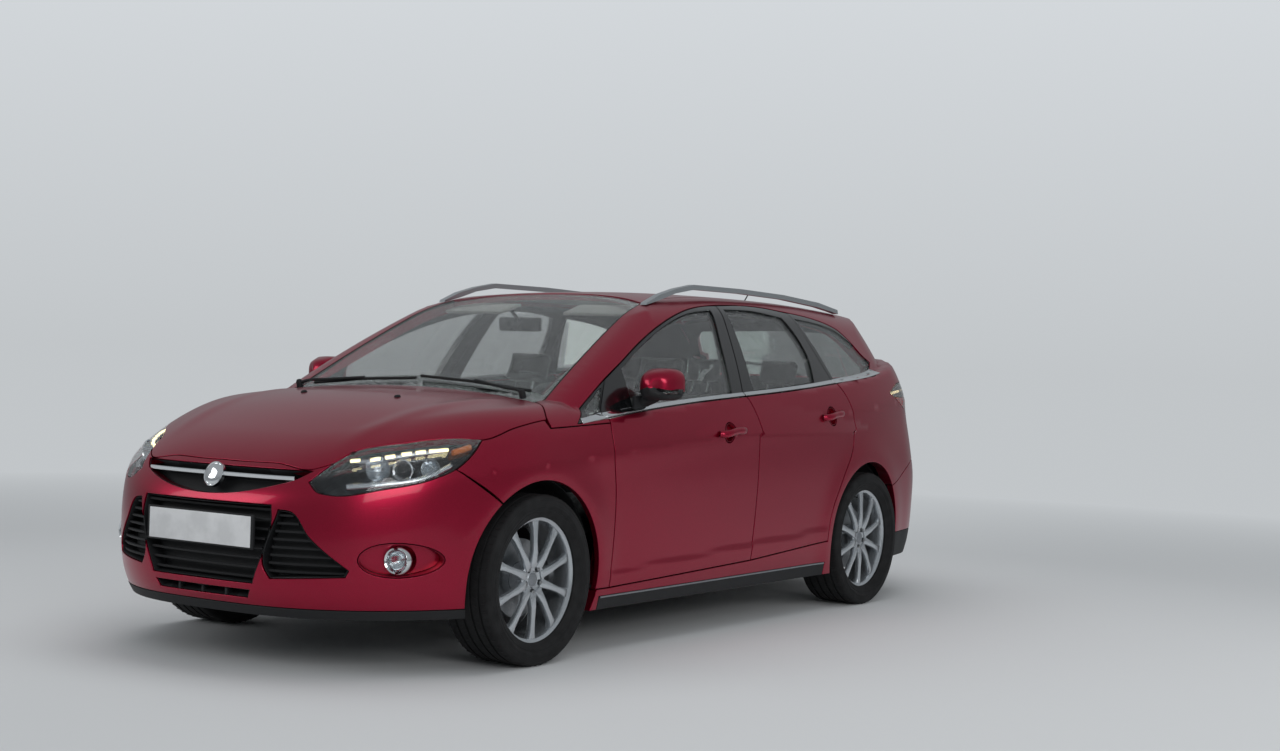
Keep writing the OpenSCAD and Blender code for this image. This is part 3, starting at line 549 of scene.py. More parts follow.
def bumped(tree, shader, height, strength, distance):
    bump = addNode(tree, "ShaderNodeBump", None, {"Strength": strength, "Distance": distance},
        [(height[0], height[1], "Height")])
    tree.links.new(bump.outputs["Normal"], shader.inputs["Normal"])
    return bump


# metallic car paint under clear lacquer: flakes of about 1 mm are drawn coarse so that they show
candyPaint, tree, shader = newMaterial("metallic_lacquer_red", "#980b2e", 0.3, 0.85, Coat_Weight=0.4,
    Coat_Roughness=0.07, Coat_IOR=1.5, Specular_IOR_Level=0.3)
speckled(tree, shader, linear("#850727"), linear("#aa1138"), 900, 0.35, 0.65, 2.0)

# moulded and polished ABS, black: piano finish of pillars and frames
blackGloss, tree, shader = newMaterial("polished_black_abs", "#0b0c0d", 0.12, Coat_Weight=0.6,
    Coat_Roughness=0.05)
speckled(tree, shader, grey(0.11), grey(0.17), 40, 0.3, 0.7, 3.0, "Roughness")

# moulded polypropylene with a fine grain of about 1 mm
grainedBlack, tree, shader = newMaterial("grained_polypropylene", "#17181a", 0.62, Specular_IOR_Level=0.4)
place = addNode(tree, "ShaderNodeTexCoord")
grain = addNode(tree, "ShaderNodeTexVoronoi", {"feature": "DISTANCE_TO_EDGE"}, {"Scale": 900.0},
    [(place, "Object", "Vector")])
bumped(tree, shader, (grain, "Distance"), 0.35, 0.0004)
softBlack, tree, shader = newMaterial("soft_touch_vinyl", "#26272a", 0.7)
place = addNode(tree, "ShaderNodeTexCoord")
grain = addNode(tree, "ShaderNodeTexNoise", None, {"Scale": 700.0, "Detail": 3.0},
    [(place, "Object", "Vector")])
bumped(tree, shader, (grain, "Fac"), 0.4, 0.0006)

# chromium plate on polished plastic
chrome, tree, shader = newMaterial("chromium_plate", "#dfe2e4", 0.06, 1.0)
speckled(tree, shader, grey(0.04), grey(0.09), 30, 0.3, 0.7, 3.0, "Roughness")

# anodised aluminium rail, finely brushed along its length
anodised, tree, shader = newMaterial("anodised_aluminium", "#c3c7ca", 0.3, 1.0)
place = addNode(tree, "ShaderNodeTexCoord")
stretch = addNode(tree, "ShaderNodeMapping", None, {"Scale": (4.0, 700.0, 700.0)},
    [(place, "Object", "Vector")])
brush = addNode(tree, "ShaderNodeTexNoise", None, {"Scale": 1.0, "Detail": 2.0},
    [(stretch, "Vector", "Vector")])
bumped(tree, shader, (brush, "Fac"), 0.12, 0.0003)

# cast aluminium wheel, painted silver and lacquered
wheelSilver, tree, shader = newMaterial("silver_lacquered_alloy", "#b9bec3", 0.26, 0.85, Coat_Weight=0.6,
    Coat_Roughness=0.08)
speckled(tree, shader, linear("#aeb3b8"), linear("#c6cbcf"), 1100, 0.4, 0.6, 2.0)

# tyre tread and sidewall: vulcanised rubber with a dusty bloom
tyreRubber, tree, shader = newMaterial("vulcanised_rubber", "#161617", 0.82, Specular_IOR_Level=0.35)
place, noise = speckled(tree, shader, linear("#111112"), linear("#1f1f20"), 24, 0.3, 0.75, 6.0)
bumped(tree, shader, (noise, "Fac"), 0.25, 0.0008)
sealRubber, tree, shader = newMaterial("extruded_epdm", "#0e0e0f", 0.7)
speckled(tree, shader, linear("#0c0c0d"), linear("#161617"), 120, 0.3, 0.7)

# tinted safety glass: clear enough for the cabin to be lit through it
tintedGlass, tree, shader = newMaterial("tinted_safety_glass", "#b4cdc1", 0.0, Transmission_Weight=1.0,
    IOR=1.45, Alpha=0.34, Coat_Weight=1.0, Coat_Roughness=0.0)
darkGlass, tree, shader = newMaterial("privacy_glass", "#4d5f59", 0.0, Transmission_Weight=1.0, IOR=1.45,
    Alpha=0.62, Coat_Weight=1.0, Coat_Roughness=0.0)
clearLens, tree, shader = newMaterial("clear_polycarbonate", "#eef3f5", 0.0, Transmission_Weight=1.0, IOR=1.45,
    Alpha=0.28, Coat_Weight=1.0, Coat_Roughness=0.0)
smokedLens, tree, shader = newMaterial("smoked_polycarbonate", "#6a5f62", 0.0, Transmission_Weight=0.9,
    IOR=1.45, Alpha=0.62, Coat_Weight=1.0)
redLens, tree, shader = newMaterial("red_acrylic", "#a80a18", 0.08, Transmission_Weight=0.5, IOR=1.49,
    Alpha=0.93, Coat_Weight=1.0)
place = addNode(tree, "ShaderNodeTexCoord")
prism = addNode(tree, "ShaderNodeTexVoronoi", None, {"Scale": 160.0}, [(place, "Object", "Vector")])
bumped(tree, shader, (prism, "Distance"), 0.25, 0.002)
amberLens, tree, shader = newMaterial("amber_acrylic", "#e07a12", 0.15, Transmission_Weight=0.4, IOR=1.49)
ledGlow, tree, shader = newMaterial("warm_white_led", "#fff2c4", 0.3, Emission_Strength=2.4)
shader.inputs["Emission Color"].default_value = linear("#fff0b8")
reflector, tree, shader = newMaterial("vacuum_metallised_reflector", "#d5dade", 0.12, 1.0)
speckled(tree, shader, grey(0.08), grey(0.2), 60, 0.3, 0.7, 2.0, "Roughness")
lampBlack, tree, shader = newMaterial("lamp_housing_polycarbonate", "#24272b", 0.3, 0.4)
speckled(tree, shader, linear("#1c1f22"), linear("#2f3338"), 50)

# woven seat cloth: threads of about 1 mm, drawn at 2 mm so that they show
def wovenCloth(name, dark, light, threads):
    material, tree, shader = newMaterial(name, light, 0.95, Sheen_Weight=0.35, Sheen_Roughness=0.5)
    place = addNode(tree, "ShaderNodeTexCoord")
    warp = addNode(tree, "ShaderNodeTexWave", {"bands_direction": "X"}, {"Scale": threads, "Distortion": 0.6},
        [(place, "Object", "Vector")])
    weft = addNode(tree, "ShaderNodeTexWave", {"bands_direction": "DIAGONAL"}, {"Scale": threads,
        "Distortion": 0.6}, [(place, "Object", "Vector")])
    both = addNode(tree, "ShaderNodeMath", {"operation": "MULTIPLY"}, None, [(warp, "Fac", 0),
        (weft, "Fac", 1)])
    ramp = addNode(tree, "ShaderNodeValToRGB", None, None, [(both, "Value", "Fac")])
    ramp.color_ramp.elements[0].color, ramp.color_ramp.elements[1].color = linear(dark), linear(light)
    tree.links.new(ramp.outputs["Color"], shader.inputs["Base Color"])
    bumped(tree, shader, (both, "Value"), 0.5, 0.001)
    return material


seatCloth = wovenCloth("woven_seat_cloth", "#1b1c1f", "#35373b", 160)
seatSide = wovenCloth("knitted_bolster_cloth", "#121315", "#222326", 220)
headCloth = wovenCloth("felted_headliner", "#8b8a85", "#a6a49e", 260)
carpet, tree, shader = newMaterial("needled_carpet", "#1a1a1c", 1.0)
place, noise = speckled(tree, shader, linear("#101012"), linear("#2a2a2d"), 420, 0.3, 0.7, 5.0)
bumped(tree, shader, (noise, "Fac"), 0.9, 0.003)

# cast iron and pressed steel under the car
castIron, tree, shader = newMaterial("painted_cast_iron", "#2c2e31", 0.6, 0.5)
place, noise = speckled(tree, shader, linear("#222427"), linear("#3a3b3d"), 70, 0.3, 0.7, 6.0)
bumped(tree, shader, (noise, "Fac"), 0.4, 0.002)
machinedSteel, tree, shader = newMaterial("turned_brake_steel", "#8e9194", 0.32, 1.0)
place = addNode(tree, "ShaderNodeTexCoord")
rust = addNode(tree, "ShaderNodeTexNoise", None, {"Scale": 90.0, "Detail": 5.0}, [(place, "Object", "Vector")])
ramp = addNode(tree, "ShaderNodeValToRGB", None, None, [(rust, "Fac", "Fac")])
ramp.color_ramp.elements[0].color, ramp.color_ramp.elements[1].color = linear("#7d7f81"), linear("#a5a7a9")
tree.links.new(ramp.outputs["Color"], shader.inputs["Base Color"])
exhaustSteel, tree, shader = newMaterial("heat_tinted_stainless", "#8a8378", 0.35, 1.0)
speckled(tree, shader, linear("#6f675c"), linear("#a39b8d"), 14, 0.3, 0.7, 5.0)
castAlloy, tree, shader = newMaterial("sand_cast_aluminium", "#8b8e91", 0.55, 0.8)
place, noise = speckled(tree, shader, linear("#7b7e81"), linear("#9b9ea1"), 60, 0.3, 0.7, 6.0)
bumped(tree, shader, (noise, "Fac"), 0.4, 0.002)
underPaint, tree, shader = newMaterial("stone_chip_coating", "#202124", 0.85)
place, noise = speckled(tree, shader, linear("#191a1c"), linear("#2a2b2e"), 160, 0.3, 0.7, 5.0)
bumped(tree, shader, (noise, "Fac"), 0.7, 0.002)
whitePlate, tree, shader = newMaterial("plain_plate_enamel", "#d9dadb", 0.35, Coat_Weight=0.4)
speckled(tree, shader, linear("#d2d3d4"), linear("#e0e1e2"), 12)
mirrorGlass, tree, shader = newMaterial("silvered_mirror", "#dfe4e6", 0.02, 1.0)
speckled(tree, shader, grey(0.015), grey(0.03), 12, 0.3, 0.7, 2.0, "Roughness")
screenGlass, tree, shader = newMaterial("display_glass", "#0a0d12", 0.08, Coat_Weight=1.0)
speckled(tree, shader, linear("#080a0e"), linear("#10151c"), 20)
silverTrim, tree, shader = newMaterial("satin_silver_paint", "#8d9196", 0.4, 0.8)
speckled(tree, shader, linear("#83878c"), linear("#989ca1"), 300)
print("stage: materials made")


# studio: pale floor, soft lamps, and the camera

studio = {"floorSize": 60.0, "floorColour": "#d2d4d5", "worldColour": "#dfe5ea", "worldStrength": 0.42,
    "lensWidth": 36.0, "lens": 53.14, "cameraPlace": (7.051, 5.119, 1.16), "yaw": -146.009, "pitch": -0.473,
    "roll": 1.909}


def addLamp(name, place, target, size, power, mirrored=True):
    bpy.ops.object.light_add(type="AREA", location=place)
    lamp = bpy.context.object
    lamp.name = name
    lamp.data.shape, lamp.data.size, lamp.data.size_y = "RECTANGLE", size[0], size[1]
    lamp.data.energy = power
    lamp.visible_glossy = mirrored
    lamp.rotation_euler = (Vector(target) - Vector(place)).to_track_quat("-Z", "Y").to_euler()
    return lamp


bpy.ops.mesh.primitive_plane_add(size=studio["floorSize"], location=(0, 0, 0))
floor = bpy.context.object
floor.name = "studioFloor"
floorPaint, tree, shader = newMaterial("matt_studio_floor", studio["floorColour"], 0.75)
place = addNode(tree, "ShaderNodeTexCoord")
spread = addNode(tree, "ShaderNodeMapping", None, {"Scale": (1 / 11, 1 / 11, 1 / 11)},
    [(place, "Object", "Vector")])
fade = addNode(tree, "ShaderNodeTexGradient", {"gradient_type": "SPHERICAL"}, None,
    [(spread, "Vector", "Vector")])
ramp = addNode(tree, "ShaderNodeValToRGB", None, None, [(fade, "Fac", "Fac")])
ramp.color_ramp.elements[0].position, ramp.color_ramp.elements[1].position = 0.15, 0.62
lightPath = addNode(tree, "ShaderNodeLightPath")
distant = addNode(tree, "ShaderNodeMath", {"operation": "SUBTRACT"}, {0: 1.0}, [(ramp, "Color", 1)])
seen = addNode(tree, "ShaderNodeMath", {"operation": "MULTIPLY"}, None, [(distant, "Value", 0),
    (lightPath, "Is Camera Ray", 1)])
haze = addNode(tree, "ShaderNodeEmission", None, {"Color": linear("#c6cacd"), "Strength": 0.95})
output = tree.nodes["Material Output"]
both = addNode(tree, "ShaderNodeMixShader", None, None, [(seen, "Value", 0), (shader, "BSDF", 1),
    (haze, "Emission", 2)])
tree.links.new(both.outputs["Shader"], output.inputs["Surface"])
floor.data.materials.append(floorPaint)

world = bpy.data.worlds.new("studioWorld")
bpy.context.scene.world = world
world.use_nodes = True
tree = world.node_tree
place = addNode(tree, "ShaderNodeTexCoord")
parts = addNode(tree, "ShaderNodeSeparateXYZ", None, None, [(place, "Generated", "Vector")])
ramp = addNode(tree, "ShaderNodeValToRGB", None, None, [(parts, "Z", "Fac")])
ramp.color_ramp.elements[0].position, ramp.color_ramp.elements[0].color = 0.0, linear("#c6cacd")
ramp.color_ramp.elements[1].position, ramp.color_ramp.elements[1].color = 0.45, linear("#eef3f8")
background = tree.nodes["Background"]
tree.links.new(ramp.outputs["Color"], background.inputs["Color"])
background.inputs["Strength"].default_value = studio["worldStrength"]
lightPath = addNode(tree, "ShaderNodeLightPath")
backdrop = addNode(tree, "ShaderNodeBackground", None, {"Strength": 0.95}, [(ramp, "Color", "Color")])
mixed = addNode(tree, "ShaderNodeMixShader", None, None, [(lightPath, "Is Camera Ray", "Fac"),
    (background, "Background", 1), (backdrop, "Background", 2)])
tree.links.new(mixed.outputs["Shader"], tree.nodes["World Output"].inputs["Surface"])

addLamp("overheadSoftbox", (0.2, 0.0, 5.2), (0, 0, 0.6), (6.0, 3.4), 105, mirrored=False)
addLamp("frontLeftSoftbox", (5.6, 6.4, 3.4), (0.6, 0, 0.7), (4.5, 2.6), 150)
addLamp("sideStrip", (-1.6, 6.5, 2.2), (-0.8, 0, 0.8), (5.5, 1.2), 80, mirrored=False)
addLamp("frontRightSoftbox", (6.5, -4.0, 3.2), (1.2, 0, 0.6), (3.5, 2.4), 70)
addLamp("backSoftbox", (-6.5, -4.5, 3.6), (-0.6, 0, 0.8), (5.0, 2.6), 85, mirrored=False)

yaw, pitch, roll = (math.radians(studio[k]) for k in ("yaw", "pitch", "roll"))
ahead = Vector((math.cos(yaw) * math.cos(pitch), math.sin(yaw) * math.cos(pitch), math.sin(pitch)))
right = Vector((math.sin(yaw), -math.cos(yaw), 0))
up = right.cross(ahead)
rightRolled = right * math.cos(roll) + up * math.sin(roll)
upRolled = up * math.cos(roll) - right * math.sin(roll)
bpy.ops.object.camera_add(location=studio["cameraPlace"])
camera = bpy.context.object
camera.matrix_world = Matrix((rightRolled, upRolled, -ahead)).transposed().to_4x4()
camera.location = studio["cameraPlace"]
camera.data.sensor_width, camera.data.lens = studio["lensWidth"], studio["lens"]
bpy.context.scene.camera = camera
bpy.context.scene.view_settings.view_transform = "Standard"
bpy.ops.object.select_all(action="DESELECT")
print("stage: studio ready")


# outlines of the panels and panes, in millimetres

def arc(x, z, radius, first, last, count):
    turn = np.radians(np.linspace(first, last, count))
    return np.stack([x + radius * np.cos(turn), z + radius * np.sin(turn)], 1)


def sideLoop(points, corner=38.0):
    return wrapPlace(onSide(eased(points, 13, corner, True)))


frontShut = eased([(929, 258), (925, 650), (950, 786), (950, 880), (936, 950), (892, 1020), (850, 1076)])
centreShut = eased([(-150, 292), (-165, 470), (-170, 719), (-155, 885), (-138, 946), (-112, 1000), (-79, 1032),
    (-161, 1294), (-207, 1416)], corner=30)
rearShut = eased([(-975, 639), (-1070, 785), (-1052, 951), (-1000, 1030), (-932, 1097), (-867, 1218),
    (-804, 1406)], corner=50)
railFront = eased([(850, 1076), (710, 1146), (535, 1231), (371, 1298), (202, 1353), (33, 1392), (-126, 1412),
    (-207, 1416)])
railRear = eased([(-207, 1416), (-415, 1426), (-600, 1423), (-804, 1406)])
rearArc = arc(rearAxle, 327.5, 410, 28, 1, 14)
doorBottomFront = eased([(-150, 292), (929, 258)], 20)
doorBottomRear = eased([(rearArc[-1][0], rearArc[-1][1]), (-150, 292)], 20)
rearLeg = eased([(-975, 639), tuple(rearArc[0])], 20)

doorFront = wrapPlace(onSide(joined(frontShut, railFront, centreShut[::-1], doorBottomFront)))
doorRear = wrapPlace(onSide(joined(centreShut, railRear, rearShut[::-1], rearLeg, rearArc, doorBottomRear)))
glassFront = sideLoop([(735, 962), (718, 1119), (556, 1203), (392, 1273), (227, 1331), (64, 1371), (-123, 1392),
    (-47, 1218), (10, 1031)], 50)
glassRear = sideLoop([(-242, 1400), (-175, 1044), (-745, 1084), (-777, 1211), (-754, 1300), (-705, 1380),
    (-480, 1402)], 50)
glassFixed = sideLoop([(-832, 1380), (-955, 1104), (-1459, 1147), (-1537, 1176), (-1440, 1240), (-1309, 1298),
    (-1221, 1331), (-1081, 1357)], 60)
quarterlight = sideLoop([(1066, 930), (884, 1048), (946, 952)])
daylight = sideLoop([(1141, 906), (981, 1002), (841, 1081), (710, 1146), (535, 1231), (371, 1298), (202, 1353),
    (33, 1392), (-126, 1412), (-415, 1426), (-600, 1424), (-768, 1411), (-1000, 1390), (-1150, 1366),
    (-1250, 1340), (-1350, 1290), (-1470, 1215), (-1545, 1186), (-1500, 1152), (-1200, 1108), (-932, 1077),
    (-750, 1061), (-400, 1035), (0, 1009), (450, 967), (903, 931)], 40)


def beltBand(low, high, x0=1160, x1=-1560):
    # a band of height along the waist line, for the bright strip and for what lies below it
    x = np.arange(x0, x1, -16.0)
    bottom = np.stack([x, waist(x) + low], 1) if low is not None else np.array([[x0, 120.0], [x1, 120.0]])
    top = np.stack([x, waist(x) + high], 1)
    return wrapPlace(onSide(np.concatenate([bottom, top[::-1]])))


belowBelt = beltBand(None, 0.0, 1500, -1720)
aboveBelt = wrapPlace(onSide(np.concatenate([np.stack([np.arange(1400.0, -1720, -16),
    waist(np.arange(1400.0, -1720, -16))], 1), [(-1720, 1440), (-1400, 1440), (-800, 1440), (0, 1440),
    (300, 1400), (700, 1200), (1100, 1010), (1400, 930)]])))
stripBand = beltBand(1.0, 21.0)

# the edge between the body side and the windscreen and roof
gutterX = np.concatenate([np.arange(1185.0, 262, -18), np.arange(262.0, -1700, -24), [-1706.0]])
gutterY = np.where(gutterX > 262, 534 + (gutterX - 262) * 0.158, 534 - 0.0000095
    * np.minimum(gutterX + 300, 0) ** 2)
gutter = onTop(np.stack([gutterX, gutterY], 1))

bonnetHalf = [(1165, 0), (1172, 300), (1190, 560), (1215, 720), (1300, 822), (1480, 812), (1646, 792),
    (1750, 724), (1877, 631), (2017, 502), (2087, 472), (2130, 425), (2150, 250), (2162, 75), (2162, 0)]
bonnetEdge = eased(bonnetHalf, 12, 48)
bonnetTop = mirrorLoop(bonnetEdge, 1)
edge3d = onTop(bonnetEdge[(bonnetEdge[:, 0] > 1211)])
edgeWrap = wrapPlace(edge3d)
bonnetWrap = np.concatenate([[(edgeWrap[0][0] + 10, 1330)], edgeWrap, (edgeWrap * [-1, 1])[::-1],
    [(-edgeWrap[0][0] - 10, 1330)]])
screenHalf = [(1139, 0), (1150, 300), (1168, 560), (1180, 675), (262, 530), (205, 400), (152, 200), (135, 0)]
screenTop = mirrorLoop(eased(screenHalf, 14, 50), 1)
roofHalf = eased([(120, 0), (137, 200), (190, 400), (250, 528)], 14)
roofTop = mirrorLoop(np.concatenate([roofHalf, np.stack([gutterX, gutterY], 1)[gutterX < 250], [(-1706, 0)]]),
    1)

headLampLoop = wrapPlace(eased([(2170, 433, 690), (2087, 474, 758), (2017, 504, 797), (1877, 633, 834),
    (1750, 726, 853), (1646, 792, 853), (1701, 807, 812), (1799, 802, 748), (1898, 763, 708), (2035, 666, 674),
    (2154, 523, 648), (2174, 477, 657)], 9, 50, True))
tailLampLoop = wrapPlace(eased([(-1560, 850, 1040), (-1680, 826, 1082), (-1900, 745, 1088), (-2060, 640, 1080),
    (-2100, 578, 1078), (-2200, 576, 868), (-2150, 690, 850), (-2050, 775, 860), (-1880, 806, 930),
    (-1700, 845, 985)], 10, 50, True))
tailgateHalf = [(0, 704), (545, 704), (572, 770), (574, 900), (570, 1085), (553, 1200), (541, 1300)]
tailEdge = eased(tailgateHalf[1:], 14)
tailCorner = onTop([(-1706, 538), (-1760, 538), (-1810, 539)])
tailSide = np.concatenate([onBack(tailEdge), tailCorner[::-1]])  # from the bumper up to the roof
tailHalfFlat = np.concatenate([[(0, 704)], backPlace(tailSide)])
tailTop = backPlace(onTop([(-1706, 250), (-1706, 0)]))
tailgateLoop = mirrorLoop(np.concatenate([tailHalfFlat, tailTop]), 0)
rearWindow = mirrorLoop(eased([(0, 1105), (500, 1105), (525, 1120), (505, 1210), (475, 1320), (450, 1350),
    (0, 1362)], 14, 30), 0)
rearWindow = backPlace(onBack(rearWindow))

wingRear = frontShut[frontShut[:, 1] < 915]
wingLine = eased([tuple(wingRear[-1]), (1141, 898), (1310, 890)], 14)
wingLoop = wrapPlace(onSide(np.concatenate([wingRear, wingLine, [(1312, 980), (1700, 980), (1820, 800)],
    eased([(1798, 744), (1600, 607), (1386, 330), (1300, 258)], 14), eased([(1300, 258), (929, 258)],
    20)[1:-1]])))
frontArch = wrapPlace(onSide(arc(frontAxle, 327.5, 368, 0, 360, 120)[:-1]))
frontArchWide = wrapPlace(onSide(arc(frontAxle, 327.5, 378, 0, 360, 120)[:-1]))
rearArch = wrapPlace(onSide(arc(rearAxle, 327.5, 368, 0, 360, 120)[:-1]))


def bumperLoop(side3d, last, low):
    # an outline on the left from the arch to the middle of the car, and its mirror image
    left = wrapPlace(side3d)
    middle = 0.0 if last == "front" else wrapEnd
    top = np.array([(u, left[-1][1]) for u in np.arange(left[-1][0], middle, 14 if middle > 0 else -14)[1:]]
        + [(middle, left[-1][1])])
    first = left[0][0]
    bottom = np.array([(u, low) for u in np.arange(middle, first, -14 if middle > 0 else 14)] + [(first, low)])
    half = np.concatenate([left, top])
    other = half[::-1] * [-1, 1] + [2 * middle, 0]
    bottomOther = bottom * [-1, 1] + [2 * middle, 0]
    return np.concatenate([half, other[1:], bottomOther[::-1], bottom[1:-1]])


frontBumper = bumperLoop(onSide(eased([(1600, 205), (1600, 607), (1798, 744), (1870, 800)], 14)), "front",
    205.0)
rearBumper = bumperLoop(onSide(eased([(-1500, 205), (-1500, 560), (-1640, 600), (-1800, 668), (-1880, 690)],
    14)), "rear", 205.0)


def frontLoop(points, corner=38.0):
    return wrapPlace(onFront(eased(points, 11, corner, True)))


lowerShape = [(-322, 604), (322, 604), (330, 560), (256, 322), (-256, 322), (-330, 560)]
sideShape = [(352, 590), (400, 585), (470, 500), (590, 385), (580, 362), (330, 345), (312, 370)]
lowerGrille, sideGrille = frontLoop(lowerShape), frontLoop(sideShape, 50)
sideGrilleRight = sideGrille * [-1, 1]
upperSlot = frontLoop([(-425, 728), (425, 728), (385, 700), (300, 672), (-300, 672), (-385, 700)])
lowIntake = frontLoop([(-240, 296), (240, 296), (225, 268), (-225, 268)])
fogRecess = frontLoop([(706 + 92 * math.cos(a), 423 + 62 * math.sin(a)) for a in np.linspace(0, 2 * math.pi,
    28)[:-1]])
fogRecessRight = fogRecess * [-1, 1]
holes = [lowerGrille, sideGrille, sideGrilleRight, upperSlot, lowIntake, fogRecess, fogRecessRight]

bodyRegion = np.concatenate([wrapPlace(gutter), wrapPlace(tailSide[::-1]), wrapPlace(onBack([(545, 690)])),
    wrapPlace(onSide(np.array([(-1500.0, 172.0), (-1100.0, 172.0), (-400.0, 172.0), (300.0, 172.0),
    (1000.0, 172.0), (1300.0, 172.0), (1300.0, 640.0), (1300.0, 880.0), (1302.0, 905.0)]))),
    edgeWrap[edge3d[:, 0] < 1296][::-1]])
print("stage: outlines laid out")


# skin of the body

bodySkin = {"wallSide": 56.0, "doorDepth": 102.0, "frameDepth": 34.0, "gap": 2.6}


def tidy(piece, body, replaces=()):
    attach(piece, body)
    if replaces:
        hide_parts(*replaces)
    return piece


def tidyPair(pair, bodies, replaces=((), ())):
    for piece, body, nodes in zip(pair, bodies, replaces):
        tidy(piece, body, nodes)
    return pair


both = ("body", "body")


def band(low, high, first=-9000.0, last=9000.0):
    # a level band of the flat map
    u = np.arange(first, last + 1, 40.0)
    return np.concatenate([np.stack([u, np.full_like(u, low)], 1), np.stack([u, np.full_like(u, high)],
        1)[::-1]])


skirtLoop = wrapPlace(onSide(eased([(990, 150), (990, 226), (-850, 232), (-850, 150)], 16, 30, True)))
cups = {"front": (95, 860), "rear": (-828, 925), "radius": 43.0}
cupLoops = {end: wrapPlace(onSide(arc(cups[end][0], cups[end][1], cups["radius"], 0, 360, 40)[:-1]))
    for end in ("front", "rear")}


def doorWall(points):
    # deep below the waist, and thin round the window
    k = smooth((points[:, 2] - waist(points[:, 0]) + 34) / 30)
    return bodySkin["doorDepth"] * (1 - k) + bodySkin["frameDepth"] * k


sides = panel("bodySide", "wrap", [bodyRegion], [doorFront, doorRear, daylight, wingLoop, bonnetWrap,
    rearBumper, rearArch, frontArchWide, tailLampLoop, skirtLoop], 26, bodySkin["gap"], 1.8,
    bodySkin["wallSide"], materials=[candyPaint, softBlack], innerMaterial=1, mirrored=True)
tidyPair(sides, both, (["body_side_left"], ["body_side_right"]))
skirts = panel("sideSkirt", "wrap", [skirtLoop, band(173, 400)], [rearArch, frontArchWide], 24, 0.3, 2.0, 40.0,
    1.0, materials=[grainedBlack], mirrored=True)
tidyPair(skirts, both)
# a thin strip of satin silver along the top edge of the black skirt, where the light catches it: a painted
# highlight
skirtHighlightLoop = wrapPlace(onSide(eased([(982, 221), (982, 228), (-842, 234), (-842, 227)], 16, 30, True)))
lines = panel("skirtHighlightStrip", "wrap", [skirtHighlightLoop], [rearArch, frontArchWide], 12, 0.0, 1.2, 4.0, 4.0,
    materials=[silverTrim], mirrored=True)
tidyPair(lines, both)
trims = panel("windowTrim", "wrap", [daylight, aboveBelt], [doorFront, doorRear, glassFixed, quarterlight], 26,
    1.6, 1.2, 30.0, -1.5, materials=[blackGloss], mirrored=True)
tidyPair(trims, both)
wings = panel("frontWing", "wrap", [wingLoop], [frontArch, bonnetWrap, headLampLoop], 24, bodySkin["gap"], 1.8,
    22.0, materials=[candyPaint, underPaint], innerMaterial=1, mirrored=True)
tidyPair(wings, both, (["front_wings"], []))
for name, loop, glass, body, cup in (("doorFront", doorFront, glassFront, "door_front_", cupLoops["front"]),
        ("doorRear", doorRear, glassRear, "door_rear_", cupLoops["rear"])):
    bodies = (body + "left", body + "right")
    skins = panel(name, "wrap", [loop, belowBelt], [cup], 24, bodySkin["gap"], 1.8, doorWall,
        materials=[candyPaint, softBlack], innerMaterial=1, mirrored=True)
    tidyPair(skins, bodies, ([body + "left"], [body + "right"]))
    frames = panel(name + "Frame", "wrap", [loop, aboveBelt], [glass], 24, bodySkin["gap"], 1.4, 32.0, -1.2,
        materials=[blackGloss, softBlack], innerMaterial=1, mirrored=True)
    tidyPair(frames, bodies)
    panes = panel(name + "Pane", "wrap", [glass], [], 30, 0.4, 0.5, 4.5, -7.5, materials=[tintedGlass],
        mirrored=True)
    tidyPair(panes, bodies, (["door_glass_" + body[5:] + "left"], ["door_glass_" + body[5:]
        + "right"]))
    strips = panel(name + "Strip", "wrap", [loop, stripBand], [], 20, bodySkin["gap"], 2.2, 9.0, 3.2,
        materials=[chrome], mirrored=True)
    tidyPair(strips, bodies)
strips = panel("beltStrip", "wrap", [stripBand, beltBand(0.0, 22.0, 1112, -1512)], [doorFront, doorRear], 20,
    0.6, 2.2, 9.0, 3.2, materials=[chrome], mirrored=True)
tidyPair(strips, both)
panes = panel("fixedPane", "wrap", [glassFixed], [], 30, 0.4, 0.5, 4.5, -5.0, materials=[tintedGlass],
    mirrored=True)
tidyPair(panes, both, (["fixed_side_glass"], []))
panes = panel("quarterPane", "wrap", [quarterlight], [], 20, 0.4, 0.5, 4.5, -4.0, materials=[tintedGlass],
    mirrored=True)
tidyPair(panes, both)
print("stage: sides, doors and panes")

roofPiece = panel("roofPanel", "top", [roofTop], [], 30, bodySkin["gap"], 2.0, 30.0,
    materials=[candyPaint, headCloth], innerMaterial=1)
tidy(roofPiece, "body", ["roof_panel"])
bonnetPiece = panel("bonnetPanel", "top", [bonnetTop], [], 22, bodySkin["gap"], 2.4, 26.0,
    materials=[candyPaint, underPaint], innerMaterial=1)
tidy(bonnetPiece, "bonnet", ["bonnet"])
screen = panel("windscreenPane", "top", [screenTop], [], 30, 2.2, 0.8, 5.0, -1.0, materials=[tintedGlass])
tidy(screen, "body", ["windscreen"])
inner = mirrorLoop(eased([(1040, 0), (1052, 300), (1072, 560), (1080, 632), (300, 498), (240, 380), (196, 200),
    (182, 0)], 14, 60), 1)
border = panel("windscreenBorder", "top", [screenTop], [inner], 24, 3.0, 0.4, 1.2, -6.6, materials=[blackGloss])
tidy(border, "body")
gatePiece = panel("tailgatePanel", "back", [tailgateLoop], [rearWindow], 24, bodySkin["gap"], 2.2, 30.0,
    materials=[candyPaint, softBlack], innerMaterial=1)
tidy(gatePiece, "tailgate", ["tailgate"])
gatePane = panel("tailgatePane", "back", [rearWindow], [], 26, 0.6, 0.6, 4.5, -3.0, materials=[darkGlass])
tidy(gatePane, "tailgate", ["tailgate_glass"])
frontSkin = panel("frontBumper", "wrap", [frontBumper, band(240, 1400)], [frontArch, bonnetWrap, headLampLoop,
    headLampLoop * [-1, 1], frontArch * [-1, 1]] + holes, 20, 1.4, 2.2, 30.0, materials=[candyPaint,
    underPaint], innerMaterial=1)
tidy(frontSkin, "body", ["front_bumper"])
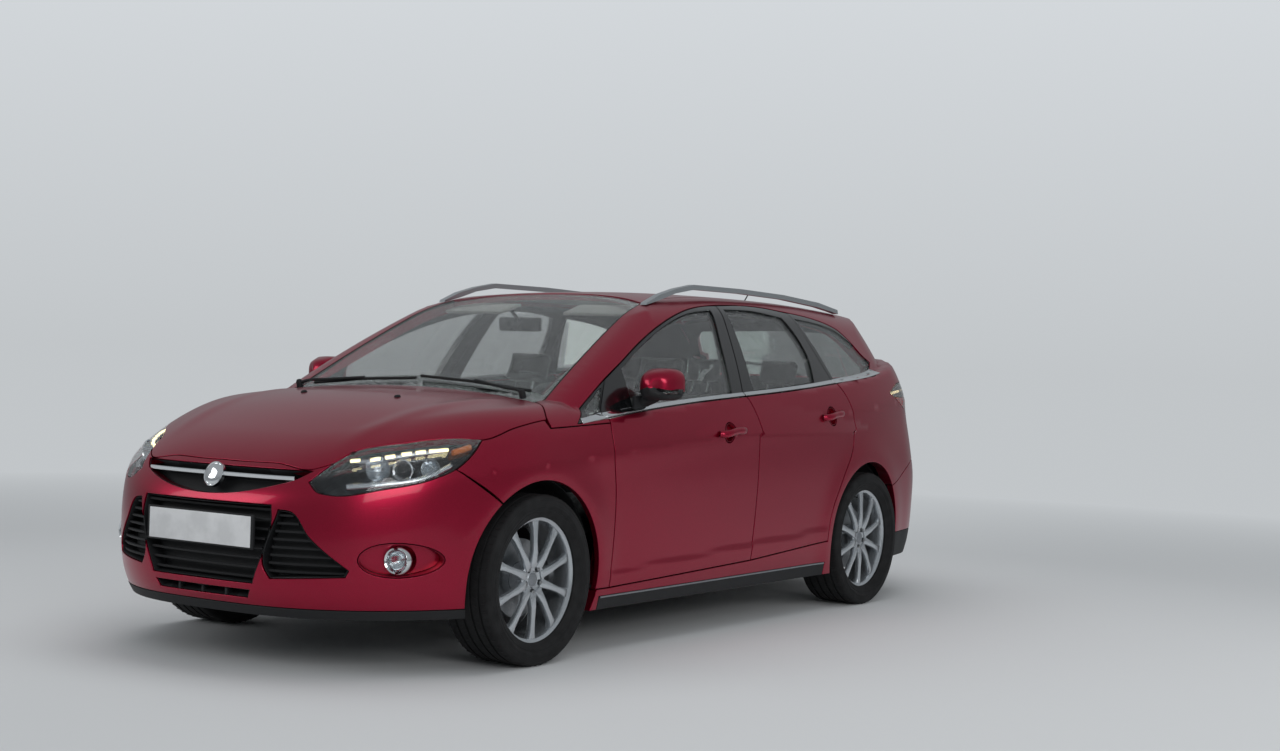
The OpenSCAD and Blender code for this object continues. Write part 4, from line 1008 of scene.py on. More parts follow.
lip = panel("frontLip", "wrap", [frontBumper, band(190, 240)], [frontArch, frontArch * [-1, 1]], 18, 0.4, 2.0,
    26.0, 2.0, materials=[grainedBlack])
tidy(lip, "body")
rearArchRight = rearArch * [-1, 1] + [2 * wrapEnd, 0]
rearSkin = panel("rearBumper", "wrap", [rearBumper, band(330, 1400)], [rearArch, rearArchRight], 24, 1.8, 2.2,
    30.0, materials=[candyPaint, underPaint], innerMaterial=1)
tidy(rearSkin, "body", ["rear_bumper"])
valance = panel("rearValance", "wrap", [rearBumper, band(190, 330)], [rearArch, rearArchRight], 24, 0.4, 2.0,
    26.0, -1.0, materials=[grainedBlack])
tidy(valance, "body")
print("stage: roof, bonnet, tailgate and bumpers")

lenses = panel("headLampLens", "wrap", [headLampLoop], [], 18, 2.2, 1.6, 3.0, materials=[clearLens],
    mirrored=True)
tidyPair(lenses, both, (["headlamps"], []))
lenses = panel("tailLampLens", "wrap", [tailLampLoop, band(700, 1007)], [], 18, 1.0, 1.6, 3.0,
    materials=[redLens], mirrored=True)
tidyPair(lenses, both, (["tail_lamps"], []))
lenses = panel("tailLampUpperLens", "wrap", [tailLampLoop, band(1007, 1400)], [], 18, 1.0, 1.6, 3.0,
    materials=[smokedLens], mirrored=True)
tidyPair(lenses, both)


# working by hand: primitives, edit mode and modifiers

def finished(piece, material=None, angle=38, bevel=0.0, segments=2, subdivide=0):
    # modifiers applied, place in the mesh, smooth shading
    chosen(piece)
    bpy.ops.object.transform_apply(location=True, rotation=True, scale=True)
    if bevel:
        modifier = piece.modifiers.new("edge", "BEVEL")
        modifier.width, modifier.segments, modifier.limit_method = bevel, segments, "ANGLE"
        modifier.angle_limit = math.radians(32)
        bpy.ops.object.modifier_apply(modifier=modifier.name)
    if subdivide:
        modifier = piece.modifiers.new("smooth", "SUBSURF")
        modifier.levels = modifier.render_levels = subdivide
        bpy.ops.object.modifier_apply(modifier=modifier.name)
    bpy.ops.object.shade_smooth_by_angle(angle=math.radians(angle))
    if material is not None:
        piece.data.materials.clear()
        piece.data.materials.append(material)
    piece.select_set(False)
    return piece


def block(name, size, place, material, turn=(0, 0, 0), bevel=0.003, taper=None):
    # a cube at its real size in metres; taper draws in the top, by share of x and y
    bpy.ops.mesh.primitive_cube_add(size=1, location=place, rotation=turn)
    piece = bpy.context.object
    piece.name = piece.data.name = name
    piece.scale = size
    if taper:
        for vert in piece.data.vertices:
            if vert.co.z > 0:
                vert.co.x, vert.co.y = vert.co.x * taper[0], vert.co.y * taper[1]
    return finished(piece, material, bevel=bevel)


tip = 0.1  # radius of a closed end of a profile, in millimetres


def lathe(name, profile, place, axis, material, steps=64, angle=38, bevel=0.0):
    # a profile of (radius, along) in millimetres, spun round an axis
    axis = Vector(axis).normalized()
    side = axis.orthogonal().normalized()
    mesh = bpy.data.meshes.new(name)
    mesh.from_pydata([side * (r / 1000) + axis * (a / 1000) for r, a in profile],
        [(i, i + 1) for i in range(len(profile) - 1)], [])
    piece = chosen(linked(name, mesh))
    bpy.ops.object.mode_set(mode="EDIT")
    bpy.ops.mesh.select_all(action="SELECT")
    bpy.ops.mesh.spin(steps=steps, angle=2 * math.pi, center=(0, 0, 0), axis=axis)
    bpy.ops.mesh.select_all(action="SELECT")
    bpy.ops.mesh.remove_doubles(threshold=0.00001)
    bpy.ops.mesh.normals_make_consistent(inside=False)
    bpy.ops.object.mode_set(mode="OBJECT")
    piece.location = place
    return finished(piece, material, angle=angle, bevel=bevel)


def tube(name, points, radius, material, closed=False, resolution=4, smoothRun=True):
    # a round bar along points in metres
    curve = bpy.data.curves.new(name, "CURVE")
    curve.dimensions, curve.bevel_depth, curve.bevel_resolution = "3D", radius, resolution
    curve.use_fill_caps = not closed
    spline = curve.splines.new("BEZIER" if smoothRun else "POLY")
    if smoothRun:
        spline.bezier_points.add(len(points) - 1)
        for knot, point in zip(spline.bezier_points, points):
            knot.co, knot.handle_left_type, knot.handle_right_type = point, "AUTO", "AUTO"
        spline.resolution_u = 5
    else:
        spline.points.add(len(points) - 1)
        for knot, point in zip(spline.points, points):
            knot.co = (*point, 1)
    spline.use_cyclic_u = closed
    piece = chosen(linked(name, curve))
    bpy.ops.object.convert(target="MESH")
    return finished(bpy.context.object, material)


def plate(name, outline, thick, place, acrossAxis, upAxis, material, bevel=0.001, angle=38):
    # a flat outline (metres) pushed out to a thickness along its normal
    across, upward = Vector(acrossAxis).normalized(), Vector(upAxis).normalized()
    mesh = bpy.data.meshes.new(name)
    mesh.from_pydata([Vector(place) + across * a + upward * b for a, b in outline], [],
        [list(range(len(outline)))])
    piece = chosen(linked(name, mesh))
    bpy.ops.object.mode_set(mode="EDIT")
    bpy.ops.mesh.select_all(action="SELECT")
    push = across.cross(upward) * thick
    bpy.ops.mesh.extrude_region_move(TRANSFORM_OT_translate={"value": push})
    bpy.ops.mesh.select_all(action="SELECT")
    bpy.ops.mesh.normals_make_consistent(inside=False)
    bpy.ops.object.mode_set(mode="OBJECT")
    return finished(piece, material, angle=angle, bevel=bevel)


def joinedPieces(name, pieces):
    bpy.ops.object.select_all(action="DESELECT")
    for piece in pieces:
        piece.select_set(True)
    bpy.context.view_layer.objects.active = pieces[0]
    bpy.ops.object.join()
    whole = bpy.context.object
    whole.name = whole.data.name = name
    whole.select_set(False)
    return whole


def copied(piece, name, matrix):
    # a copy with its own mesh, moved; a mirrored one is turned the right way out again
    other = piece.copy()
    other.data = piece.data.copy()
    other.name = other.data.name = name
    other.parent = None
    bpy.context.scene.collection.objects.link(other)
    other.data.transform(matrix)
    if matrix.determinant() < 0:
        other.data.flip_normals()
    other.data.update()
    return other


mirrorY = Matrix.Diagonal((1, -1, 1, 1))


def onForm(x, y, z, depth=0.0):
    # a point of the form near a place in millimetres, sunk by a depth, with the normal there, in metres
    flat = wrapPlace([(x, y, z)])
    start, direction = wrapRay(flat[:, 0], flat[:, 1])
    place = leave(start, direction)
    normal = outward(place)
    return Vector((place - normal * depth)[0] / 1000), Vector(normal[0])


# headlamps: housing, beam units, the row of lights along the top, and an amber marker

headLamp = {"rows": [(2034, 524, 776), (1992, 581, 783), (1953, 617, 793), (1905, 653, 804), (1864, 684, 811),
    (1825, 713, 816), (1795, 733, 819)], "units": [((1966, 672, 738), 40), ((2022, 606, 740), 44),
    ((1890, 736, 745), 34)], "depth": 78.0}


def bowl(name, loop, depth, material, body, rimDepth=5.0, step=20, mirrored=True, rightBody=None):
    # the dark back of a lamp or recess: its floor lies deep, its sides come up to the rim
    pieces = panel(name, "wrap", [loop], [], step, 3.4, 1.0, 3.0, -depth, materials=[material],
        mirrored=mirrored, straight=False)
    pieces = pieces if mirrored else [pieces]
    start, direction = wrapRay(loop[:, 0], loop[:, 1])
    rim = leave(start, direction)
    normal = outward(rim)
    centre = rim.mean(0)
    inward = centre - rim
    inward /= np.linalg.norm(inward, axis=1)[:, None]
    rings = [rim - normal * rimDepth + inward * 4.5, rim - normal * (depth + 3) + inward * 3.0,
        rim - normal * (depth + 3) + inward * 1.0, rim - normal * rimDepth + inward * 2.5]
    n = len(rim)
    faces = []
    for k in range(4):
        for i in range(n):
            j = (i + 1) % n
            faces.append((k * n + i, k * n + j, (k + 1) % 4 * n + j, (k + 1) % 4 * n + i))
    for index, piece in enumerate(pieces):
        verts = np.concatenate(rings)
        if index:
            verts = verts * [1, -1, 1]
        wall = finished(turnedOut(meshPiece(name + "Wall", verts, faces, materials=[material])), angle=45)
        rides = rightBody if index and rightBody else body
        tidy(wall, rides)
        tidy(piece, rides)
    return pieces


def bothSides(piece, name, body, otherBody=None):
    other = copied(piece, name + "Right", mirrorY)
    piece.name = piece.data.name = name + "Left"
    tidy(piece, body)
    tidy(other, otherBody or body)
    return piece, other


for end in ("front", "rear"):
    bowl("handleCup" + end.capitalize(), cupLoops[end], 20.0, candyPaint, "door_%s_left" % end, 1.0, 9,
        rightBody="door_%s_right" % end)
bowl("headLampBowl", headLampLoop, headLamp["depth"], lampBlack, "body")
forward = Vector((0.93, 0.36, 0.02)).normalized()
beams = []
for index, (place, radius) in enumerate(headLamp["units"]):
    spot, _ = onForm(*place)
    spot = spot - forward * 0.052
    if index == 0:  # projector: a glass ball lens in a bright ring
        ring = lathe("projectorRing", [(radius, 0), (radius, 16), (radius - 4, 20), (radius - 9, 16),
            (radius - 10, 0), (radius - 4, -34), (radius, 0)], spot, forward, chrome, 48)
        ball = lathe("projectorBall", [(tip, 30), (12, 28), (22, 21), (28.5, 9), (29.5, 0), (tip, -4)], spot,
            forward, clearLens, 40)
        back = lathe("projectorBack", [(tip, -30), (24, -28), (30, -6), (31, -6), (27, -32), (tip, -34),
            (tip, -30)], spot, forward, lampBlack, 40)
        beams += [ring, ball, back]
    else:  # reflector: a bright dish with a bulb in it
        dish = lathe("beamDish", [(6, -30), (radius * 0.45, -24), (radius * 0.8, -8), (radius, 12),
            (radius + 2, 12), (radius * 0.82, -11), (radius * 0.45, -27), (6, -33), (6, -30)], spot, forward,
            reflector, 48)
        bulb = lathe("beamBulb", [(tip, 4), (5, 2), (6.5, -6), (6.5, -31), (tip, -32)], spot, forward,
            clearLens, 20)
        beams += [dish, bulb]
    bezel = block("beamBezel", (0.03, radius * 0.0017, 0.006), spot + Vector((-0.012, 0, -(radius + 4) / 1000)),
        reflector, (0, 0, math.atan2(forward.y, forward.x)), 0.002)
    beams.append(bezel)
for piece in beams:
    bothSides(piece, piece.name, "body")
for index, place in enumerate(headLamp["rows"]):
    spot, normal = onForm(*place, depth=13)
    nextPlace = headLamp["rows"][min(index + 1, 6)] if index < 6 else headLamp["rows"][5]
    along = Vector(nextPlace) - Vector(place)
    turn = math.atan2(along.y, along.x)
    tilt = -math.atan2(along.z, math.hypot(along.x, along.y))
    light = block("dayLight", (0.036, 0.012, 0.011), spot, ledGlow, (0, tilt, turn), 0.0025)
    bothSides(light, "dayLight%d" % index, "body")
run = [onForm(x, y, z - 1, depth=20)[0] for x, y, z in headLamp["rows"]]
carrier = tube("lightCarrier", run, 0.0085, reflector)
bothSides(carrier, "lightCarrier", "body")
run = [onForm(x, y, z, depth=16)[0] for x, y, z in ((1770, 757, 812), (1735, 772, 822), (1700, 782, 832))]
amber = tube("amberMarker", run, 0.011, amberLens)
bothSides(amber, "amberMarker", "body")
blade = [onForm(x, y, z, depth=34)[0] for x, y, z in ((2100, 545, 690), (2010, 660, 700), (1900, 742, 722),
    (1800, 785, 770))]
sill = tube("lampSill", blade, 0.012, reflector)
bothSides(sill, "lampSill", "body")
print("stage: headlamps")

# front: grille bars, slot with its bright bar and plain boss, fog lamps, plate, tow cover

front = {"lowerBars": 8, "sideBars": 8, "plateHeight": 0.505, "boss": (2213, 0, 694), "fog": (2008, 706, 423)}
bowl("lowerGrilleBowl", lowerGrille, 62.0, grainedBlack, "body", mirrored=False)
bowl("sideGrilleBowl", sideGrille, 58.0, grainedBlack, "body")
bowl("upperSlotBowl", upperSlot, 55.0, grainedBlack, "body", mirrored=False)
bowl("lowIntakeBowl", lowIntake, 50.0, grainedBlack, "body", mirrored=False)
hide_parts("grilles")


def grilleBar(name, z, y0, y1, depth, height=9.0, thick=20.0, material=grainedBlack):
    # a bar that follows the form, a little behind it; its face leans up
    ys = np.linspace(y0, y1, max(4, int(abs(y1 - y0) / 30)))
    face = onFront(np.stack([ys, np.full_like(ys, z)], 1))
    section = [(0, -height / 2), (1.5, -height / 2 + 1.5), (3.0, height / 2 - 3), (0, height / 2),
        (-thick, height / 2 - 2), (-thick, -height / 2 + 2)]
    normal = outward(face)
    normal[:, 2] = 0
    normal /= np.linalg.norm(normal, axis=1)[:, None]
    verts = [face + normal * (a - depth) + [0, 0, b] for a, b in section]
    n, m = len(ys), len(section)
    faces = [(k * n + i, k * n + i + 1, (k + 1) % m * n + i + 1, (k + 1) % m * n + i) for k in range(m)
        for i in range(n - 1)]
    faces += [tuple(k * n for k in range(m))[::-1], tuple(k * n + n - 1 for k in range(m))]
    piece = meshPiece(name, np.concatenate(verts), faces, materials=[material])
    if y1 > y0:
        piece.data.flip_normals()
    return finished(piece, angle=32)


def widthAt(loop2d, z):
    # inner and outer y where a level line crosses an outline seen from the front
    cuts = []
    for (ay, az), (by, bz) in zip(loop2d, loop2d[1:] + loop2d[:1]):
        if (az > z) != (bz > z):
            cuts.append(ay + (by - ay) * (z - az) / (bz - az))
    return min(cuts), max(cuts)


bars = []
for z in np.linspace(344, 586, front["lowerBars"]):
    y0, y1 = widthAt(lowerShape, z)
    bars.append(grilleBar("lowerBar", z, y0 + 4, y1 - 4, 20))
tidy(joinedPieces("lowerGrilleBars", bars), "body")
bars = []
for z in np.linspace(372, 570, front["sideBars"]):
    y0, y1 = widthAt(sideShape, z)
    bars.append(grilleBar("sideBar", z, y0 + 5, y1 - 6, 16))
piece = joinedPieces("sideGrilleBars", bars)
bothSides(piece, "sideGrilleBars", "body")
bars = [grilleBar("slotMesh", z, -y, y, 34, 5.0, 8.0) for z, y in ((684, 320), (714, 385))]
tidy(joinedPieces("slotMesh", bars), "body")
bars = [block("intakeRib", (0.03, 0.012, 0.03), (2.235, y, 0.282), grainedBlack) for y in (-0.12, 0.0, 0.12)]
tidy(joinedPieces("intakeRibs", bars), "body")
bright = [grilleBar("slotBar", 698.0, -372, 372, 3.0, 15.0, 22.0, chrome)]
tidy(bright[0], "body")
spot, normal = onForm(*front["boss"])
boss = lathe("plainBoss", [(tip, 12), (20, 11.2), (34, 8), (40.5, 3), (44, 6), (47, 4), (48, -10), (tip, -12)],
    spot - Vector((0.004, 0, 0)), (0.94, 0, 0.34), chrome, 64)
tidy(boss, "body")
holder = [(-0.272, -0.062), (0.272, -0.062), (0.272, 0.062), (-0.272, 0.062)]
spot, _ = onForm(2275, 0, 505)
holderX = spot.x - 0.004
base = plate("plateHolder", holder, 0.012, (holderX - 0.01, 0, front["plateHeight"]), (0, 1, 0), (0, 0, 1),
    grainedBlack, 0.003)
tidy(base, "body")
face = [(-0.26, -0.0555), (0.26, -0.0555), (0.26, 0.0555), (-0.26, 0.0555)]
blank = plate("blankPlate", face, 0.003, (holderX + 0.0005, 0, front["plateHeight"]), (0, 1, 0), (0, 0, 1),
    whitePlate, 0.0012)
tidy(blank, "body")

bowl("fogRecessBowl", fogRecess, 42.0, candyPaint, "body", 3.0)
fogSpot, _ = onForm(*front["fog"])
fogAxis = Vector((0.975, 0.22, 0.0)).normalized()
fogSpot = fogSpot + Vector((-0.014, 0.0, 0.0))
barrel = lathe("fogBarrel", [(50, -45), (52, -4), (50, 12), (46, 16), (41, 12), (38, -6), (36, -40), (50, -45)],
    fogSpot, fogAxis, chrome, 64)
bothSides(barrel, "fogBarrel", "body")
dish = lathe("fogDish", [(5, -36), (20, -31), (34, -16), (37.5, -6), (38.5, -10), (22, -36), (5, -40),
    (5, -36)], fogSpot, fogAxis, reflector, 48)
bothSides(dish, "fogDish", "body")
bulb = lathe("fogBulb", [(tip, -12), (10, -13), (13, -18), (13, -34), (tip, -34)], fogSpot, fogAxis, clearLens,
    24)
bothSides(bulb, "fogBulb", "body")
lens = lathe("fogLens", [(tip, 7), (20, 6), (34, 1), (39, -3), (38, -6), (tip, 3), (tip, 7)], fogSpot, fogAxis,
    clearLens, 48)
fogPair = bothSides(lens, "fogLens", "body")
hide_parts("fog_lamps")

coverLoop = wrapPlace(onFront(eased([(659, 569), (701, 569), (701, 611), (659, 611)], 8, 20, True)))
covers = panel("towCover", "wrap", [coverLoop], [], 12, 0.8, 1.0, 3.0, 0.6, materials=[candyPaint],
    mirrored=False)
tidy(covers, "body")
print("stage: front details")


# wheels: tyre with grooves and blocks, alloy rim, brake disc and caliper

wheel = {"x": {"front": 1.386, "rear": -1.262}, "y": 0.78, "z": 0.3225, "spokes": 10, "nuts": 5, "blocks": 64,
    "grooves": (-62, -21, 21, 62), "steps": 128}
tread = [(238.5, 89.5), (258.5, 100.5), (262, 103.5), (266, 103), (278.5, 112), (283.5, 111.8), (285, 110.5),
    (298.5, 109.6), (301, 108.5), (303.5, 109.2), (312, 106.2), (317, 102), (319.5, 96), (321.2, 86)]
crown = [(321.2, 86)]
for groove in sorted(wheel["grooves"], reverse=True):
    crown += [(322.2, groove + 5.2), (315, groove + 4.6), (315, groove - 4.6), (322.2, groove - 5.2)]
half = tread[:-1] + crown
profile = half + [(r, -a) for r, a in tread[::-1]] + [(235, -88), (235, 88), tread[0]]
tyreShape = lathe("tyre", profile, (0, 0, 0), (0, 1, 0), tyreRubber, wheel["steps"], angle=28)
sipeShades = []
for size, place, lean, start in (((0.003, 0.026, 0.002), (0, 0.083, 0.3216), 0.18, 0.0),
        ((0.0026, 0.02, 0.0018), (0, 0.0415, 0.3219), -0.35, 0.04)):
    cut = block("sipeShade", size, place, sealRubber, (0, 0, lean), 0.0)  # cross cuts of the ribs, drawn as thin bars of darker rubber on the tread: painted shade for the inside of each cut
    for k in range(wheel["blocks"]):
        turn = Matrix.Rotation(2 * math.pi * k / wheel["blocks"] + start, 4, "Y")
        sipeShades += [copied(cut, "sipeShade", turn), copied(cut, "sipeShade", turn @ mirrorY)]
    bpy.data.objects.remove(cut)
tyreShape = joinedPieces("tyre", [tyreShape] + sipeShades)

lip = [(235, 79), (239.5, 88.5), (247, 90.5), (252, 88), (252.5, 84), (245, 81), (233, 74), (226, 70),
    (221.5, 30), (220, -30), (224.5, -72), (233, -83), (240, -87), (252, -88), (252, -92), (239, -91),
    (229, -86), (219, -74), (214.5, -30), (216, 30), (219, 64), (223, 73), (231, 76.5), (235, 79)]
rimShape = lathe("rim", lip, (0, 0, 0), (0, 1, 0), wheelSilver, wheel["steps"], angle=30)
# one spoke: a cube cut into lengths, wide and deep at both ends and waisted between, then bevelled
bpy.ops.mesh.primitive_cube_add(size=1, location=(0, 0.06, 0.139))
spoke = bpy.context.object
spoke.scale = (0.036, 0.03, 0.186)
bpy.ops.object.transform_apply(location=True, rotation=True, scale=True)
bpy.ops.object.mode_set(mode="EDIT")
for level in (0.075, 0.105, 0.15, 0.195, 0.218):
    bpy.ops.mesh.select_all(action="SELECT")
    bpy.ops.mesh.bisect(plane_co=(0, 0, level), plane_no=(0, 0, 1))
bpy.ops.object.mode_set(mode="OBJECT")
for vert in spoke.data.vertices:
    z = vert.co.z
    share = np.interp(z, [0.046, 0.075, 0.105, 0.15, 0.195, 0.218, 0.232], [0.95, 0.86, 0.72, 0.62, 0.74, 1.0,
        1.5])
    front = np.interp(z, [0.046, 0.105, 0.195, 0.232], [0.07, 0.0765, 0.0735, 0.0705])
    back = np.interp(z, [0.046, 0.105, 0.195, 0.232], [0.04, 0.056, 0.053, 0.04])
    outside = vert.co.y > 0.06
    vert.co.x *= share * (1.0 if outside else 1.25)
    vert.co.y = front if outside else back
finished(spoke, wheelSilver, bevel=0.0035, segments=2)
spokes = [spoke] + [copied(spoke, "spoke", Matrix.Rotation(2 * math.pi * k / wheel["spokes"], 4, "Y"))
    for k in range(1, wheel["spokes"])]
hubShape = lathe("hub", [(tip, 64), (27, 64), (29, 65.5), (31, 64), (33, 62.5), (46, 64), (58, 68), (64, 69),
    (69, 64), (68, 42), (60, 30), (60, -30), (tip, -30)], (0, 0, 0), (0, 1, 0), wheelSilver, 96, angle=30)
capShape = lathe("centreCap", [(tip, 70.2), (12, 69.8), (21, 68.2), (25.5, 65.5), (26.5, 62), (tip, 61)],
    (0, 0, 0), (0, 1, 0), silverTrim, 64)
nut = lathe("nut", [(tip, 6), (6.5, 5.5), (8.5, 3), (8.5, -6), (tip, -6)], (0, 0.066, 0.0465), (0, 1, 0),
    machinedSteel, 6, angle=20, bevel=0.0006)
nutSeat = lathe("nutSeat", [(9, 0), (11.8, 0.8), (12.8, -3), (9, -5), (9, 0)], (0, 0.066, 0.0465), (0, 1, 0),
    lampBlack, 24)
nut = joinedPieces("nut", [nut, nutSeat])
nuts = [copied(nut, "nut", Matrix.Rotation(2 * math.pi * (k + 0.5) / wheel["nuts"], 4, "Y"))
    for k in range(wheel["nuts"])]
bpy.data.objects.remove(nut)
turn = math.pi / wheel["spokes"]
place = Vector((math.sin(turn) * 0.215, 0.068, math.cos(turn) * 0.215))
valve = lathe("valve", [(tip, 18), (3, 18), (3.6, 12), (3, 4), (4.5, -4), (tip, -6)], place, (0, 1, -0.2),
    sealRubber, 16)
rimShape = joinedPieces("rim", [rimShape, hubShape, capShape, valve] + spokes + nuts)
discShape = lathe("disc", [(60, -6), (62, -3), (98, -3), (100, -2), (149, -2), (150, -3), (150, -9), (142, -10),
    (142, -15), (150, -16), (150, -21), (98, -22), (96, -16), (60, -15), (60, -6)], (0, 0, 0), (0, 1, 0),
    machinedSteel, 96, angle=25)
# caliper: one section carried along an arc of 76 degrees round the disc, lower at both ends
verts = []
for k in range(13):
    turn, top = math.radians(-38 + k * 76 / 12), 154 if 1 < k < 11 else 150
    section = [(96, 12), (118, 24), (top, 26), (top + 6, 10), (top + 6, -40), (128, -60), (100, -56),
        (100, -24), (151.5, -24.5), (151.5, 1.5), (100, 1)]
    verts += [(math.sin(turn) * radius, along, math.cos(turn) * radius) for radius, along in section]
caliperShape = meshPiece("caliper", verts, ringFaces(13, len(section)), materials=[castIron])
finished(turnedOut(caliperShape), bevel=0.004)

for end, lean in (("front", 100), ("rear", -100)):
    for side, sign in (("left", 1), ("right", -1)):
        where = "%s_%s" % (end, side)
        move = Matrix.Translation((wheel["x"][end], wheel["y"] * sign, wheel["z"]))
        turnOut = move @ Matrix.Diagonal((1, sign, 1, 1))
        label = end.capitalize() + side.capitalize()
        tidy(copied(tyreShape, "tyre" + label, turnOut), "wheel_" + where, ["tyre_" + where])
        rimPiece = copied(rimShape, "rim" + label, turnOut)
        discPiece = copied(discShape, "disc" + label, turnOut)
        tidy(rimPiece, "wheel_" + where, ["rim_" + where])
        tidy(discPiece, "wheel_" + where)
        holder = "knuckle_" + side if end == "front" else "body"
        calliperTurn = turnOut @ Matrix.Rotation(math.radians(-lean), 4, "Y")
        tidy(copied(caliperShape, "caliper" + label, calliperTurn), holder)
for piece in (tyreShape, rimShape, discShape, caliperShape):
    bpy.data.objects.remove(piece)
print("stage: wheels")


# mirrors, handles, wipers and the rest of the outside

mirror = {"centre": (921, 1061), "half": (77, 61), "ring": 48}
ringCount = mirror["ring"]
stations = [(617, 1.0), (628, 1.02), (655, 1.02), (690, 0.985), (716, 0.91), (736, 0.78), (748, 0.58),
    (754, 0.33), (756, 0.1)]
around = []
for k in range(ringCount):
    a = 2 * math.pi * k / ringCount
    c, s = math.cos(a), math.sin(a)
    around.append((math.copysign(abs(c) ** 0.62, c), math.copysign(abs(s) ** 0.72, s)))
verts, faces, kinds = [], [], []
rings = [(627, 0.86), (627, 0.9), (620, 0.93), (615, 0.97)] + stations
for x, scale in rings:
    for c, s in around:
        lift = 6 if s > 0 else 0
        verts.append((x - 16 * max(c, 0) * (1 if x > 640 else 0.4), mirror["centre"][0] + c * mirror["half"][0]
            * scale, mirror["centre"][1] + s * (mirror["half"][1] + lift) * scale - (6 if x > 700 else 0)))
for i in range(len(rings) - 1):
    for j in range(ringCount):
        k = (j + 1) % ringCount
        faces.append((i * ringCount + j, (i + 1) * ringCount + j, (i + 1) * ringCount + k, i * ringCount + k))
        level, out = (around[j][1] + around[k][1]) / 2, (around[j][0] + around[k][0]) / 2
        low = level < -0.34
        strip = -0.62 < level < -0.3 and (out > 0.55 or (4 < i < 10 and out > -0.1))
        kinds.append(2 if strip and 4 < i < 11 else 1 if low or i < 3 else 0)
faces += [tuple(range(ringCount)), tuple((len(rings) - 1) * ringCount + j for j in range(ringCount))[::-1]]
kinds += [1, 0]
shell = meshPiece("mirrorShell", verts, faces, None, kinds, [candyPaint, grainedBlack, clearLens])
finished(turnedOut(shell), angle=40)
ovalOutline = [(c * 0.0655, s * 0.052) for c, s in around]
glassPlate = plate("mirrorGlass", ovalOutline, 0.004, (0.6245, 0.921, 1.0635), (0, 1, 0), (0, 0, 1),
    mirrorGlass, 0.001)
arm = tube("mirrorArm", [(0.69, 0.838, 0.99), (0.684, 0.868, 0.996), (0.68, 0.905, 1.012)], 0.021, grainedBlack)
foot = block("mirrorFoot", (0.105, 0.02, 0.055), (0.69, 0.838, 0.99), grainedBlack, (0, 0.07, 0), 0.008)
strip = tube("indicatorStrip", [(0.742, 0.915, 1.03), (0.728, 0.96, 1.03), (0.698, 0.99, 1.033),
    (0.66, 0.998, 1.036)], 0.0065, clearLens)
base = joinedPieces("mirrorBase", [arm, foot])
for piece, slotName in ((shell, "body_paint"), (glassPlate, "glass"), (base, "black_plastic"),
        (strip, "lamp_clear")):
    left, right = bothSides(piece, piece.name, "door_front_left", "door_front_right")
    if slotName == "body_paint":
        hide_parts("mirror_left")
        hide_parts("mirror_right")

handle = {"reach": 92, "slope": 0.0763}
lean = math.atan(handle["slope"])
acrossReach, dropReach = handle["reach"] * math.cos(lean), handle["reach"] * math.sin(lean)
for end in ("front", "rear"):
    x, z = cups[end]
    ends = [onForm(x - acrossReach, 905, z + dropReach, depth=-13)[0], onForm(x, 905, z, depth=-27)[0],
        onForm(x + acrossReach, 905, z - dropReach, depth=-13)[0]]
    bar = tube("handleBar", [ends[0] + Vector((0, -0.012, 0)), ends[0] + Vector((0.012, 0.004, 0)), ends[1],
        ends[2] + Vector((-0.012, 0.004, 0)), ends[2] + Vector((0, -0.012, 0))], 0.0115, candyPaint)
    middle = Vector(ends[1])
    for vert in bar.data.vertices:  # flatter across and taller than a round bar
        vert.co.z = middle.z + (vert.co.z - middle.z) + (vert.co.z - middle.z + (vert.co.x - middle.x)
            * math.tan(lean)) * 0.35
    bothSides(bar, "door" + end.capitalize() + "Handle", "door_%s_left" % end,
        "door_%s_right" % end)
print("stage: mirrors and handles")

# wipers on the windscreen, washer nozzles on the bonnet, aerial on the roof


def wiperSet(name, pivot, elbow, near, far, above):
    spots = [Vector(onTop(np.array([p]))[0] / 1000) for p in (pivot, elbow, near, far)]
    p, e, a, b = [s + Vector((0.004, 0, h)) for s, h in zip(spots, (0.02, 0.026, above, above))]
    middle = (a + b) / 2
    armRod = tube(name + "Arm", [p, p + (e - p) * 0.35 + Vector((0, 0, 0.006)), e,
        middle + Vector((0, 0, 0.012))], 0.0065, grainedBlack)
    blade = tube(name + "Blade", [a, a + (b - a) * 0.25 + Vector((0, 0, 0.003)), middle + Vector((0, 0, 0.006)),
        a + (b - a) * 0.75 + Vector((0, 0, 0.003)), b], 0.006, sealRubber)
    cap = lathe(name + "Cap", [(tip, 16), (9, 14), (13, 6), (14, -20), (tip, -20)], p, (0.35, 0, 1),
        grainedBlack, 24)
    tidy(joinedPieces(name, [armRod, blade, cap]), "body")


wiperSet("wiperLeft", (1166, 600), (1130, 500), (1096, 590), (1078, 5), 0.012)
wiperSet("wiperRight", (1166, -600), (1136, -470), (1112, -560), (1094, -10), 0.012)
cowlLoop = mirrorLoop(eased([(1096, 0), (1110, 300), (1130, 560), (1140, 690), (1232, 700), (1216, 560),
    (1200, 300), (1190, 0)], 14, 50), 1)
cowl = panel("cowl", "top", [cowlLoop], [], 24, 1.0, 1.0, 4.0, -19.0, materials=[grainedBlack])
tidy(cowl, "body")
spot = Vector(onTop(np.array([(1504, 248)]))[0] / 1000)
nozzle = block("washerNozzle", (0.026, 0.02, 0.011), spot + Vector((0, 0, 0.003)), grainedBlack, (0, 0.12, 0),
    0.003, (0.7, 0.7))
bothSides(nozzle, "washerNozzle", "bonnet")
spot = Vector(onTop(np.array([(-1480, 0)]))[0] / 1000)
aerialFoot = block("aerialFoot", (0.09, 0.036, 0.022), spot + Vector((0, 0, 0.008)), grainedBlack, (0, -0.1, 0),
    0.006, (0.5, 0.5))
aerialRod = tube("aerialRod", [spot + Vector((0.006, 0, 0.014)), spot + Vector((-0.03, 0, 0.05)),
    spot + Vector((-0.07, 0, 0.088))], 0.0032, sealRubber)
